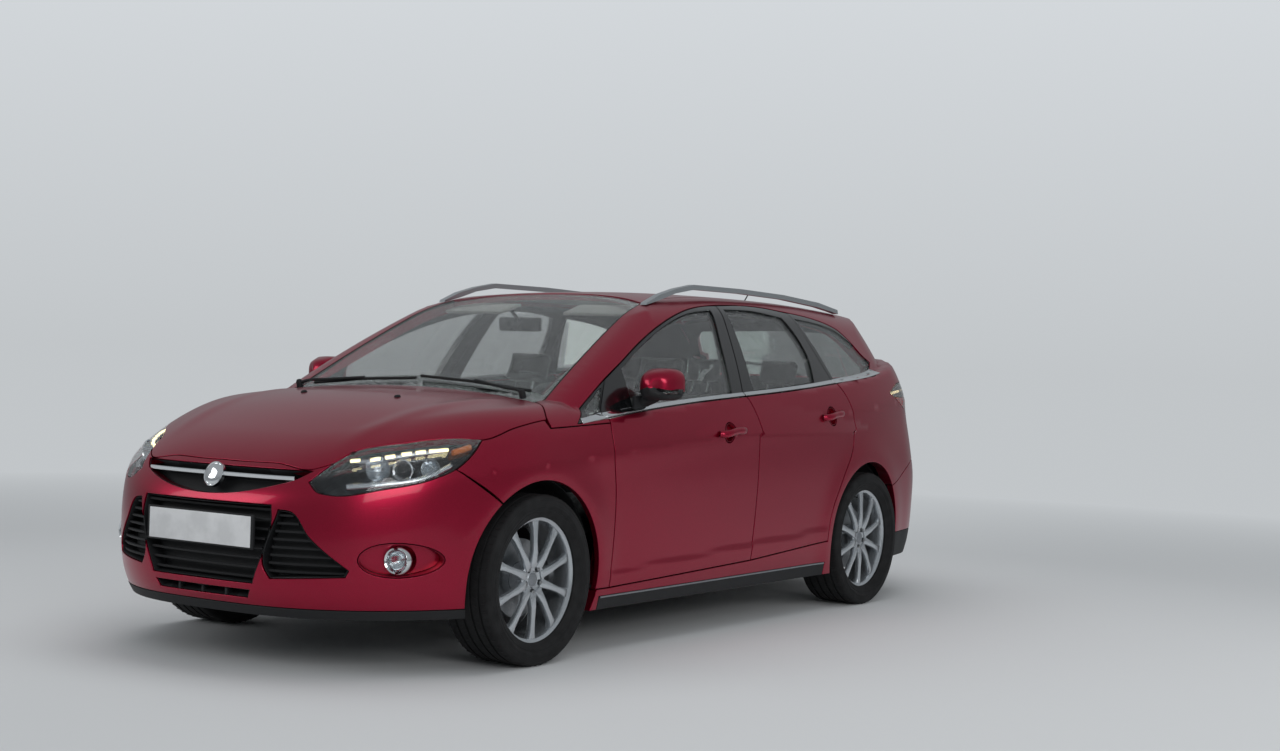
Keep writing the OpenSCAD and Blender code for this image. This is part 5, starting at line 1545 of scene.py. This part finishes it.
tidy(joinedPieces("aerial", [aerialFoot, aerialRod]), "body")
ditch = [Vector(p / 1000) - Vector((0, 0, 0.007)) for p in onTop(np.stack([gutterX, gutterY], 1)[::3])]
strip = tube("roofDitchStrip", ditch, 0.0065, sealRubber, resolution=2)
bothSides(strip, "roofDitchStrip", "body")
print("stage: wipers and roof details")

# tail: lamp interiors, plate, handle strip, boss, wiper and upper stop lamp
bowl("tailLampBowl", tailLampLoop, 46.0, lampBlack, "body")
for index, (run, material, radius) in enumerate(((((-1640, 850, 1040), (-1760, 815, 1052), (-1900, 745, 1050),
        (-2030, 655, 1042)), ledGlow, 0.006), (((-1700, 830, 1010), (-1840, 785, 1000), (-1980, 715, 985),
        (-2090, 640, 975)), amberLens, 0.011), (((-1860, 800, 960), (-1980, 750, 935), (-2090, 670, 915),
        (-2140, 610, 905)), redLens, 0.013))):
    lamp = tube("tailLight", [onForm(*p, depth=24)[0] for p in run], radius, material)
    bothSides(lamp, "tailLight%d" % index, "body")


def backSpot(y, z, out=0.0):
    place = onBack(np.array([(y, z)]))
    return Vector((place + outward(place) * out)[0] / 1000), Vector(outward(place)[0])


spot, normal = backSpot(0, 820, 2.0)
across = Vector((0, 1, 0))
upward = normal.cross(across)
upward = upward if upward.z > 0 else -upward
outer = across.cross(upward)
turned = 1 if outer.dot(normal) > 0 else -1
holder = plate("rearPlateHolder", [(-0.272, -0.064), (0.272, -0.064), (0.272, 0.064), (-0.272, 0.064)], 0.008,
    spot, across * turned, upward, grainedBlack, 0.003)
blank = plate("rearBlankPlate", [(-0.26, -0.0555), (0.26, -0.0555), (0.26, 0.0555), (-0.26, 0.0555)], 0.003,
    spot + normal * 0.008, across * turned, upward, whitePlate, 0.001)
tidy(holder, "tailgate")
tidy(blank, "tailgate")
handleLoop = backPlace(onBack(mirrorLoop(eased([(0, 903), (262, 903), (278, 915), (268, 930), (0, 932)], 12,
    30), 0)))
strip = panel("tailgateHandleStrip", "back", [handleLoop], [], 14, 0.5, 2.6, 9.0, 6.0, materials=[chrome])
tidy(strip, "tailgate")
spot, normal = backSpot(0, 1010, 0.0)
boss = lathe("tailPlainBoss", [(tip, 9), (22, 8.5), (34, 6), (40, 2), (43, 5), (46, 3), (47, -8), (tip, -10)],
    spot, normal, chrome, 64)
tidy(boss, "tailgate")
stopLoop = backPlace(onBack(mirrorLoop(eased([(0, 1378), (150, 1378), (158, 1385), (150, 1392), (0, 1393)], 10,
    30), 0)))
stop = panel("upperStopLamp", "back", [stopLoop], [], 12, 0.5, 1.5, 5.0, 3.5, materials=[redLens])
tidy(stop, "tailgate")
points = [backSpot(y, z, out)[0] for y, z, out in ((0, 1092, 16), (-60, 1112, 20), (-190, 1142, 16),
    (-330, 1160, 12))]
rod = tube("rearWiperArm", points, 0.0065, grainedBlack)
points = [backSpot(y, z, 9)[0] for y, z in ((-60, 1126), (-200, 1152), (-360, 1172))]
blade = tube("rearWiperBlade", points, 0.006, sealRubber)
spot, normal = backSpot(0, 1092, 4)
cap = lathe("rearWiperCap", [(tip, 20), (12, 18), (17, 8), (18, -6), (tip, -6)], spot, normal, grainedBlack, 32)
tidy(joinedPieces("rearWiper", [rod, blade, cap]), "tailgate")
pipe = lathe("tailpipeTip", [(26.5, -20), (30, -18), (31, 60), (29.5, 64), (27.5, 62), (26.5, 0), (26.5, -20)],
    (-2.19, -0.3, 0.25), (-1, 0, -0.08), exhaustSteel, 48)
tidy(pipe, "body")
reflexLoop = wrapPlace(onBack(eased([(560, 408), (690, 408), (694, 432), (556, 432)], 9, 40, True)))
reflexes = panel("rearReflex", "wrap", [reflexLoop], [], 12, 0.4, 1.6, 5.0, 2.0, materials=[redLens],
    mirrored=True)
tidyPair(reflexes, both)
print("stage: tail details")


# cabin: padded seats, blown up as cloth, with seams, and the rest of the inside

seat = {"y": 0.375, "lean": 22, "benchLean": 20, "cap": 0.026, "voxel": 0.006, "pressure": 4.0, "frames": 20}


def cushionForm(name, size, place, turn, crown, pinch, material, cuts=5):
    # a cube cut into a grid; its faces crown outwards and its sides draw in between the corners
    bpy.ops.mesh.primitive_cube_add(size=1)
    piece = bpy.context.object
    piece.name = piece.data.name = name
    piece.scale = size
    bpy.ops.object.transform_apply(location=False, rotation=False, scale=True)
    bpy.ops.object.mode_set(mode="EDIT")
    bpy.ops.mesh.select_all(action="SELECT")
    bpy.ops.mesh.subdivide(number_cuts=cuts)
    bpy.ops.object.mode_set(mode="OBJECT")
    half = Vector(size) / 2
    for vert in piece.data.vertices:
        a, b, c = (vert.co[k] / half[k] for k in range(3))
        fall = [(1 - a * a), (1 - b * b), (1 - c * c)]
        vert.co.z += math.copysign(crown * fall[0] * fall[1], c) * abs(c)
        vert.co.x -= math.copysign(pinch * fall[1], a) * abs(a)
        vert.co.y -= math.copysign(pinch * fall[0], b) * abs(b)
    piece.location, piece.rotation_euler = place, turn
    return finished(piece, material, bevel=0.02, segments=3)


def puffed(piece, cap, voxel):
    # the pad swells like a sewn cover over foam, held within a few centimetres of its first shape
    chosen(piece)
    modifier = piece.modifiers.new("skin", "REMESH")
    modifier.mode, modifier.voxel_size = "VOXEL", voxel
    bpy.ops.object.modifier_apply(modifier=modifier.name)
    before = np.empty(len(piece.data.vertices) * 3)
    piece.data.vertices.foreach_get("co", before)
    modifier = piece.modifiers.new("cloth", "CLOTH")
    modifier.settings.use_pressure = True
    modifier.settings.uniform_pressure_force = seat["pressure"]
    modifier.settings.effector_weights.gravity = 0
    modifier.settings.quality = 4
    modifier.settings.tension_stiffness = modifier.settings.compression_stiffness = 25
    for frameNumber in range(1, seat["frames"] + 1):
        bpy.context.scene.frame_set(frameNumber)
    swollen = np.empty_like(before)
    shaped = piece.evaluated_get(bpy.context.evaluated_depsgraph_get())
    shaped.data.vertices.foreach_get("co", swollen)
    move = (swollen - before).reshape(-1, 3)
    size = np.linalg.norm(move, axis=1)[:, None]
    move *= np.minimum(1, cap / np.maximum(size, 1e-9))
    piece.modifiers.remove(modifier)
    piece.data.vertices.foreach_set("co", (before.reshape(-1, 3) + move).reshape(-1))
    bpy.context.scene.frame_set(1)
    modifier = piece.modifiers.new("even", "SMOOTH")
    modifier.iterations = 6
    bpy.ops.object.modifier_apply(modifier=modifier.name)
    bpy.ops.object.shade_smooth()
    piece.data.update()
    return piece


def seamed(piece, lines, depth=0.006, width=0.01):
    # sewn channels: each line is (origin, normal of the plane it lies in), and runs the whole way across the
    # piece
    for vert in piece.data.vertices:
        for origin, normal in lines:
            away = abs((vert.co - origin).dot(normal))
            if away < width * 2.5:
                vert.co -= vert.normal * depth * math.exp(-((away / width) ** 2))
    piece.data.update()
    return piece


def padded(piece, body, nodes=()):
    tidy(piece, body, nodes)
    return piece


def leaningFrame(foot, degrees):
    # gives the function that turns a place in a back's own leaning frame into one in the car, in metres
    lean = math.radians(degrees)

    def placed(local):
        x, y, z = local
        return Vector((foot[0] + x * math.cos(lean) - z * math.sin(lean), foot[1] + y,
            foot[2] + x * math.sin(lean) + z * math.cos(lean)))

    return placed


seatY = seat["y"]
seatBack = leaningFrame((0.15, seatY, 0.498), seat["lean"])
lean = -math.radians(seat["lean"])
cushion = puffed(cushionForm("frontSeatCushion", (0.47, 0.33, 0.11), (0.315, seatY, 0.482), (0, -0.06, 0), 0.01,
    0.004, seatCloth), seat["cap"], seat["voxel"])
seamed(cushion, [(Vector((0.235, seatY, 0.5)), Vector((1, 0, 0))), (Vector((0.395, seatY, 0.5)),
    Vector((1, 0, 0)))])
cushionRoll = puffed(cushionForm("frontSeatSideRoll", (0.47, 0.072, 0.125), (0.31, 0.586, 0.487), (0, -0.06, 0),
    0.008, 0.002, seatSide), 0.016, seat["voxel"])
backPad = puffed(cushionForm("frontSeatBack", (0.08, 0.33, 0.5), seatBack((-0.042, 0, 0.29)), (0, lean, 0), 0.0,
    0.004, seatCloth), seat["cap"], seat["voxel"])
seams = [(seatBack((0, 0, level)), Vector((math.sin(lean), 0, math.cos(lean)))) for level in (0.17, 0.33, 0.46)]
seamed(backPad, seams)
backRoll = puffed(cushionForm("frontSeatBackRoll", (0.115, 0.07, 0.48), seatBack((-0.035, 0.205, 0.28)),
    (0, lean, 0), 0.0, 0.002, seatSide), 0.016, seat["voxel"])
headrest = puffed(cushionForm("frontHeadrest", (0.062, 0.215, 0.135), seatBack((-0.046, 0, 0.674)),
    (0, lean, 0), 0.004, 0.003, seatSide), 0.014, 0.005)
shellBack = block("frontSeatShell", (0.03, 0.44, 0.47), seatBack((-0.098, 0, 0.285)), grainedBlack,
    (0, lean, 0), 0.012)
seatBase = block("frontSeatBase", (0.4, 0.42, 0.125), (0.3, seatY, 0.352), grainedBlack, (0, 0, 0), 0.012,
    (0.96, 0.96))
rails = [block("seatRail", (0.46, 0.03, 0.022), (0.3, seatY + side * 0.19, 0.299), machinedSteel, (0, 0, 0),
    0.003) for side in (1, -1)]
posts = [tube("headrestPost", [seatBack((-0.045, side * 0.05, 0.54)), seatBack((-0.045, side * 0.05, 0.64))],
    0.006, chrome) for side in (1, -1)]
lever = lathe("leanWheel", [(tip, 12), (24, 12), (28, 6), (28, -12), (tip, -12)],
    seatBack((-0.045, 0.262, 0.05)) - Vector((0, 0.018, 0)), (0, 1, 0), grainedBlack, 20, angle=20, bevel=0.002)
seatFrame = joinedPieces("frontSeatFrame", [shellBack, seatBase, lever] + rails + posts)
across = Matrix.Translation((0, seatY, 0)) @ mirrorY @ Matrix.Translation((0, -seatY, 0))
rolls = [cushionRoll, copied(cushionRoll, "frontSeatSideRollInner", across)]
backRolls = [backRoll, copied(backRoll, "frontSeatBackRollInner", across)]
for piece, fill in ((cushion, 0.85), (backPad, 0.85), (headrest, 0.9), (rolls[0], 0.9), (rolls[1], 0.9),
        (backRolls[0], 0.9), (backRolls[1], 0.9)):
    name = piece.name
    other = copied(piece, name + "Right", mirrorY)
    piece.name = piece.data.name = name + "Left"
    padded(piece, "body", ["front_seats"] if piece is cushion else ())
    padded(other, "body")
bothSides(seatFrame, "frontSeatFrame", "body")
print("stage: front seats")

benchBack = leaningFrame((-0.85, 0, 0.51), seat["benchLean"])
benchLean = -math.radians(seat["benchLean"])
bench = puffed(cushionForm("rearBenchCushion", (0.44, 1.19, 0.115), (-0.66, 0, 0.487), (0, -0.05, 0), 0.006,
    0.003, seatCloth, 7), 0.022, 0.008)
seamed(bench, [(Vector((0, y, 0)), Vector((0, 1, 0))) for y in (0.2, -0.2, 0.53, -0.53)]
    + [(Vector((-0.55, 0, 0)), Vector((1, 0, 0)))])
padded(bench, "body", ["rear_bench"])
for name, middle, width in (("rearBackWide", -0.205, 0.66), ("rearBackNarrow", 0.345, 0.4)):
    piece = puffed(cushionForm(name, (0.072, width, 0.515), benchBack((-0.045, middle, 0.285)),
        (0, benchLean, 0), 0.0, 0.003, seatCloth, 6), 0.02, 0.008)
    up20 = Vector((math.sin(benchLean), 0, math.cos(benchLean)))
    seamed(piece, [(benchBack((0, 0, 0.44)), up20), (benchBack((0, 0, 0.13)), up20)]
        + [(Vector((0, y, 0)), Vector((0, 1, 0))) for y in ((-0.44, -0.3, 0.02) if middle < 0
        else (0.24, 0.46))])
    padded(piece, "body")
for index, y in enumerate((-0.44, 0.0, 0.44)):
    piece = puffed(cushionForm("rearHeadrest%d" % index, (0.052, 0.19, 0.115), benchBack((-0.042, y, 0.662)),
        (0, benchLean, 0), 0.004, 0.003, seatSide), 0.012, 0.005)
    padded(piece, "body")
    posts = [tube("rearPost", [benchBack((-0.042, y + k, 0.545)), benchBack((-0.042, y + k, 0.63))], 0.006,
        chrome) for k in (-0.045, 0.045)]
    tidy(joinedPieces("rearHeadrestPosts%d" % index, posts), "body")
boards = [block("benchBoard", (0.012, width, 0.52), benchBack((-0.094, middle, 0.285)), carpet,
    (0, benchLean, 0), 0.004) for middle, width in ((-0.205, 0.66), (0.345, 0.4))]
tidy(joinedPieces("rearBackBoards", boards), "body")
tidy(block("benchPlinth", (0.44, 1.18, 0.02), (-0.66, 0, 0.42), grainedBlack, (0, 0, 0), 0.005), "body")
print("stage: rear seats")


# dashboard, steering wheel, console, doors inside, carpet

cabin = {"dashHalf": 685, "wheelCentre": (0.59, 0.37, 0.885), "wheelTurn": -65, "wheelRadius": 0.17,
    "rimRadius": 0.0155, "screen": (0.15, 0.084)}
section = [(955, 700), (955, 925), (925, 950), (880, 958), (800, 950), (752, 930), (733, 912), (728, 890),
    (742, 868), (744, 850), (724, 838), (722, 818), (745, 775), (778, 742), (860, 700)]
ys = np.linspace(-cabin["dashHalf"], cabin["dashHalf"], 57)
verts = []
for y in ys:
    hood = 26 * math.exp(-((y - 370) / 150) ** 4)  # raised cowl over the instruments
    middle = 16 * math.exp(-(y / 165) ** 4)  # centre stack stands out towards the seats
    glove = -10 * math.exp(-((y + 420) / 190) ** 6)
    ends = 26 * smooth((abs(y) - 560) / 120)
    for x, z in section:
        top = z > 900
        out = middle if z < 930 else middle * 0.5
        verts.append((x - (out + hood * 0.8 * (905 < z < 955)) * (x < 860) + ends * (x < 800) - glove
            * (x < 800 and z < 860), y, z + (hood if top and x < 860 else hood * 0.4 if top else 0)))
dash = meshPiece("dashboardShell", verts, ringFaces(len(ys), len(section)), materials=[softBlack])
finished(turnedOut(dash), angle=50, bevel=0.006, segments=2)
tidy(dash, "body", ["dashboard"])
fittings = []
for y in (-0.61, -0.105, 0.105, 0.61):  # air vents: a frame, and slats in it
    x = 0.716 if abs(y) < 0.3 else 0.742
    z = 0.885 if abs(y) < 0.3 else 0.88
    fittings.append(block("ventFrame", (0.016, 0.118, 0.06), (x + 0.01, y, z), silverTrim, (0, -0.12, 0),
        0.004))
    fittings.append(block("ventDark", (0.016, 0.106, 0.05), (x + 0.007, y, z), grainedBlack, (0, -0.12, 0),
        0.003))
    for level in (-0.016, 0.0, 0.016):
        fittings.append(block("ventSlat", (0.012, 0.102, 0.0035), (x, y, z + level), softBlack, (0, 0.25, 0),
            0.001))
tidy(joinedPieces("airVents", fittings), "body")
fittings = [block("screenSurround", (0.014, 0.176, 0.108), (0.723, 0, 0.944), blackGloss, (0, -0.25, 0), 0.006),
    block("screenPane", (0.006, cabin["screen"][0], cabin["screen"][1]), (0.7145, 0, 0.942), screenGlass,
    (0, -0.25, 0), 0.002), block("stackPanel", (0.02, 0.17, 0.15), (0.708, 0, 0.79), silverTrim, (0, 0.1, 0),
    0.012)]
for y in (-0.055, 0.0, 0.055):
    fittings.append(lathe("stackKnob", [(tip, 20), (13.5, 20), (15.5, 17), (16.5, 0), (tip, -4)],
        (0.7, y, 0.745), (-1, 0, -0.1), blackGloss, 40))
for row in range(2):
    for column in range(4):
        fittings.append(block("stackButton", (0.006, 0.026, 0.014), (0.697, -0.054 + column * 0.036,
            0.792 + row * 0.022), blackGloss, (0, 0.1, 0), 0.002))
tidy(joinedPieces("centreStack", fittings), "body")
dials = []
for y, radius in ((0.312, 48), (0.428, 48)):
    place = Vector((0.752, y, 0.918))
    dials.append(lathe("dialRing", [(radius + 3, -4), (radius + 4, 6), (radius, 10), (radius - 3, 6),
        (radius - 3, -4), (radius + 3, -4)], place, (-1, 0, 0.25), silverTrim, 48))
    dials.append(lathe("dialFace", [(tip, 0), (radius - 2, 0), (radius - 2, -6), (tip, -6)], place,
        (-1, 0, 0.25), screenGlass, 48))
    dials.append(block("dialHand", (0.0015, 0.003, radius * 0.0008), place + Vector((-0.003, 0,
        radius * 0.00035)), amberLens, (0, 0.24, 0), 0.0005))
tidy(joinedPieces("instrumentDials", dials), "body")
gloveLid = block("gloveLid", (0.012, 0.36, 0.13), (0.735, -0.43, 0.79), softBlack, (0, 0.28, 0), 0.01)
latch = block("gloveLatch", (0.01, 0.07, 0.016), (0.724, -0.43, 0.838), grainedBlack, (0, 0.28, 0), 0.003)
tidy(joinedPieces("gloveBox", [gloveLid, latch]), "body")

console = block("consoleBody", (0.33, 0.2, 0.19), (0.585, 0, 0.502), softBlack, (0, 0, 0), 0.016, (0.98, 0.94))
consoleTop = block("consoleTop", (0.3, 0.15, 0.008), (0.59, 0, 0.598), blackGloss, (0, 0, 0), 0.003)
consoleFoot = block("consoleStem", (0.11, 0.196, 0.42), (0.802, 0, 0.61), softBlack, (0, 0.02, 0), 0.014)
boot = lathe("gearBoot", [(46, 0), (44, 6), (30, 26), (20, 46), (13, 60), (10, 62), (tip, 62)], (0.64, 0, 0.6),
    (-0.08, 0, 1), softBlack, 28, angle=60)
stick = tube("gearStick", [(0.636, 0, 0.655), (0.631, 0, 0.69)], 0.006, chrome)
knob = lathe("gearKnob", [(tip, 26), (14, 24), (22, 14), (24, 0), (18, -14), (11, -22), (tip, -22)],
    (0.629, 0, 0.708), (-0.08, 0, 1), softBlack, 40)
cupRings = [lathe("cupRing", [(40, 0), (41, 4), (37, 5), (35, 1), (34, -6), (40, 0)], (0.51, y, 0.601),
    (0, 0, 1), silverTrim, 48) for y in (-0.038, 0.038)]
brake = block("brakeLever", (0.19, 0.03, 0.03), (0.545, 0.085, 0.618), softBlack, (0, -0.12, 0), 0.01)
tidy(joinedPieces("centreConsole", [console, consoleTop, consoleFoot, boot, stick, knob, brake] + cupRings),
    "body")

# steering wheel: rim swept round, hub pad, three spokes and a stalk on each side
wheelTurn = Matrix.Translation(cabin["wheelCentre"]) @ Matrix.Rotation(math.radians(cabin["wheelTurn"]), 4, "Y")
run = [Vector((math.cos(a), math.sin(a), 0)) * cabin["wheelRadius"] for a in np.linspace(0, 2 * math.pi,
    25)[:-1]]
rimTube = tube("steeringRim", run, cabin["rimRadius"], softBlack, closed=True, resolution=6)
pad = lathe("steeringPad", [(tip, 22), (30, 21), (52, 15), (62, 4), (60, -12), (45, -28), (tip, -30)],
    (0, 0, -0.004), (0, 0, 1), softBlack, 40)
arms = []
for angle, width in ((90, 0.04), (270, 0.04), (180, 0.048)):
    piece = block("steeringArm", (0.12, width, 0.014), (0.105, 0, -0.006), silverTrim, (0, 0, 0), 0.005)
    piece.data.transform(Matrix.Rotation(math.radians(angle), 4, "Z"))
    arms.append(piece)
    if angle != 180:
        cluster = block("wheelButtons", (0.04, 0.026, 0.01), (0.09, 0, 0.004), blackGloss, (0, 0, 0), 0.004)
        cluster.data.transform(Matrix.Rotation(math.radians(angle), 4, "Z"))
        arms.append(cluster)
whole = joinedPieces("steeringWheelShell", [rimTube, pad] + arms)
whole.data.transform(wheelTurn)
tidy(whole, "steering_wheel", ["steering_wheel"])
column = lathe("columnCover", [(tip, 75), (36, 70), (44, 50), (46, -55), (tip, -60)], (0.692, 0.37, 0.838),
    (-0.906, 0, 0.423), softBlack, 32)
stalks = [tube("stalk", [(0.655, 0.37 + k * 0.035, 0.862), (0.648, 0.37 + k * 0.1, 0.875),
    (0.64, 0.37 + k * 0.165, 0.885)], 0.007, softBlack) for k in (1, -1)]
tidy(joinedPieces("steeringColumn", [column] + stalks), "body")
pedals = []
for y in (0.27, 0.36, 0.45):
    pedals.append(block("pedalPad", (0.014, 0.052, 0.075), (0.905, y, 0.385), sealRubber, (0, -0.5, 0), 0.004))
    pedals.append(tube("pedalArm", [(0.912, y, 0.4), (0.945, y, 0.52), (0.985, y, 0.66)], 0.007, castIron))
tidy(joinedPieces("pedals", pedals), "body")
mirrorBody = block("insideMirrorShell", (0.028, 0.225, 0.062), (0.42, 0, 1.3), softBlack, (0, 0.1, 0), 0.01)
mirrorFace = block("insideMirrorGlass", (0.003, 0.21, 0.05), (0.4045, 0, 1.2985), mirrorGlass, (0, 0.1, 0),
    0.001)
mirrorStem = tube("insideMirrorStem", [(0.434, 0, 1.318), (0.47, 0, 1.345), (0.48, 0, 1.352)], 0.008, softBlack)
tidy(joinedPieces("insideMirror", [mirrorBody, mirrorFace, mirrorStem]), "body")
visors = [block("sunVisor", (0.15, 0.34, 0.014), (0.262, side * 0.34, 1.372), headCloth, (0, 0.28, side * 0.05),
    0.005) for side in (1, -1)]
tidy(joinedPieces("sunVisors", visors), "body")

# inside of each door: padded panel, armrest with pull, lever, pocket and speaker
doorInside = {"front": (0.1, 0.86), "rear": (-0.76, -0.2)}
for end, (x0, x1) in doorInside.items():
    middle, width = (x0 + x1) / 2, x1 - x0
    y = 0.78
    items = [block("doorCardArm", (width * 0.62, 0.062, 0.06), (middle - 0.02, y - 0.02, 0.7), softBlack,
        (0, 0.05, 0), 0.018), block("doorCardPad", (width * 0.86, 0.02, 0.18), (middle, y + 0.002, 0.8),
        seatSide, (0, 0.06, 0), 0.009), block("doorPocket", (width * 0.64, 0.04, 0.11),
        (middle - 0.02, y - 0.008, 0.4), grainedBlack, (0, 0.0, 0), 0.014), block("doorLeverCup",
        (0.11, 0.014, 0.05), (middle + width * 0.22, y - 0.01, 0.86), silverTrim, (0, 0, 0), 0.005),
        block("doorLever", (0.075, 0.01, 0.016), (middle + width * 0.22, y - 0.02, 0.862), chrome, (0, 0, 0),
        0.004), block("doorSwitches", (0.11, 0.036, 0.006), (middle + width * 0.1, y - 0.022, 0.733),
        blackGloss, (0, 0.05, 0), 0.002), lathe("doorSpeaker", [(tip, 4), (50, 4), (58, 10), (66, 10), (70, 2),
        (70, -10), (tip, -10)], (middle + width * 0.3, y, 0.52), (0, -1, 0), grainedBlack, 40),
        lathe("doorTweeter", [(tip, 7), (30, 7), (36, 10), (46, 10), (54, 2), (54, -18), (tip, -18)],
        (cups[end][0] / 1000, 0.797, cups[end][1] / 1000), (0, -1, 0), grainedBlack, 40)]
    piece = joinedPieces("door%sCard" % end.capitalize(), items)
    bothSides(piece, piece.name, "door_%s_left" % end, "door_%s_right" % end)

# carpet over the floor, mats, and the lining of the load space
carpets = [block("floorCarpet", (1.38, 0.56, 0.012), (0.262, side * 0.42, 0.292), carpet, (0, 0, 0), 0.004)
    for side in (1, -1)]
carpets += [block("tunnelCarpet", (1.42, 0.276, 0.01), (0.235, 0, 0.412), carpet, (0, 0, 0), 0.004),
    block("toeCarpet", (0.012, 0.9, 0.42), (1.042, 0, 0.5), carpet, (0, 0.0, 0), 0.004),
    block("kneeCarpet", (0.39, 1.42, 0.01), (-0.685, 0, 0.416), carpet, (0, 0, 0), 0.003)]
carpets += [block("floorMat", (0.48, 0.44, 0.008), (x, side * 0.4, 0.302), sealRubber, (0, 0, 0), 0.003)
    for side in (1, -1) for x in (0.76, -0.19)]
carpets += [block("loadCarpet", (1.000, 1.06, 0.012), (-1.595, 0, 0.575), carpet, (0, 0, 0), 0.004)]
carpets += [block("loadSide", (0.82, 0.012, 0.42), (-1.54, side * 0.538, 0.77), carpet, (0, 0, 0), 0.005)
    for side in (1, -1)]
tidy(joinedPieces("cabinCarpet", carpets), "body")
print("stage: cabin")

# engine bay

bay = [block("engineCover", (0.4, 0.48, 0.06), (1.56, 0.0, 0.812), grainedBlack, (0, 0.03, 0), 0.02,
    (0.92, 0.92)), block("airBox", (0.23, 0.22, 0.15), (1.64, 0.5, 0.69), grainedBlack, (0, 0, 0.1), 0.018,
    (0.94, 0.94)), block("battery", (0.19, 0.26, 0.17), (1.37, 0.48, 0.72), softBlack, (0, 0, 0), 0.008),
    block("coolantTank", (0.18, 0.15, 0.12), (1.38, -0.5, 0.72), whitePlate, (0, 0, 0), 0.03),
    block("radiatorTop", (0.05, 0.76, 0.06), (1.93, 0, 0.62), grainedBlack, (0, 0, 0), 0.012),
    block("radiatorCore", (0.036, 0.7, 0.38), (1.93, 0, 0.42), castAlloy, (0, 0, 0), 0.004)]
for k in range(-3, 4):
    bay.append(block("coverRib", (0.3, 0.008, 0.008), (1.56, k * 0.06, 0.843), grainedBlack, (0, 0.03, 0),
        0.002))
for points, radius in ((((1.72, 0.33, 0.76), (1.8, 0.2, 0.8), (1.86, 0.05, 0.72), (1.915, -0.1, 0.64)), 0.02),
        (((1.46, -0.3, 0.74), (1.42, -0.38, 0.77), (1.385, -0.45, 0.775)), 0.014),
        (((1.62, 0.4, 0.74), (1.6, 0.3, 0.79), (1.58, 0.22, 0.81)), 0.03), (((1.36, 0.36, 0.79),
        (1.34, 0.1, 0.8), (1.36, -0.18, 0.78)), 0.008)):
    bay.append(tube("bayHose", points, radius, sealRubber))
for side in (1, -1):
    bay.append(lathe("strutTop", [(tip, 20), (22, 18), (30, 6), (62, 4), (66, -2), (tip, -4)],
        (1.386, side * 0.58, 0.852), (0, 0, 1), castIron, 40))
    for k in range(3):
        a = 2 * math.pi * k / 3
        bay.append(lathe("strutNut", [(tip, 10), (7, 9), (8, 0), (tip, 0)], (1.386 + 0.045 * math.cos(a),
            side * 0.58 + 0.045 * math.sin(a), 0.856), (0, 0, 1), machinedSteel, 6, angle=20))
caps = [lathe("bayCap", [(tip, 14), (18, 12), (22, 4), (22, -10), (tip, -10)], place, (0, 0, 1), softBlack, 24)
    for place in ((1.38, -0.5, 0.79), (1.47, -0.18, 0.85))]
tidy(joinedPieces("engineBayFittings", bay + caps), "body")
print("stage: engine bay")

# finishes of the construction pieces that stay

stayFinish = {"floor_pan": underPaint, "front_subframe": castIron, "rear_axle": castIron,
    "knuckle_left": castIron, "knuckle_right": castIron, "wheel_arch_liners": grainedBlack,
    "engine_block": castAlloy, "exhaust": exhaustSteel, "fuel_tank": grainedBlack, "roof_rails": anodised}
for name, material in stayFinish.items():
    node = frame["nodes"][name]
    for part in (node if isinstance(node, list) else [node]):
        part.data.materials.clear()
        part.data.materials.append(material)
print("stage: finishes")
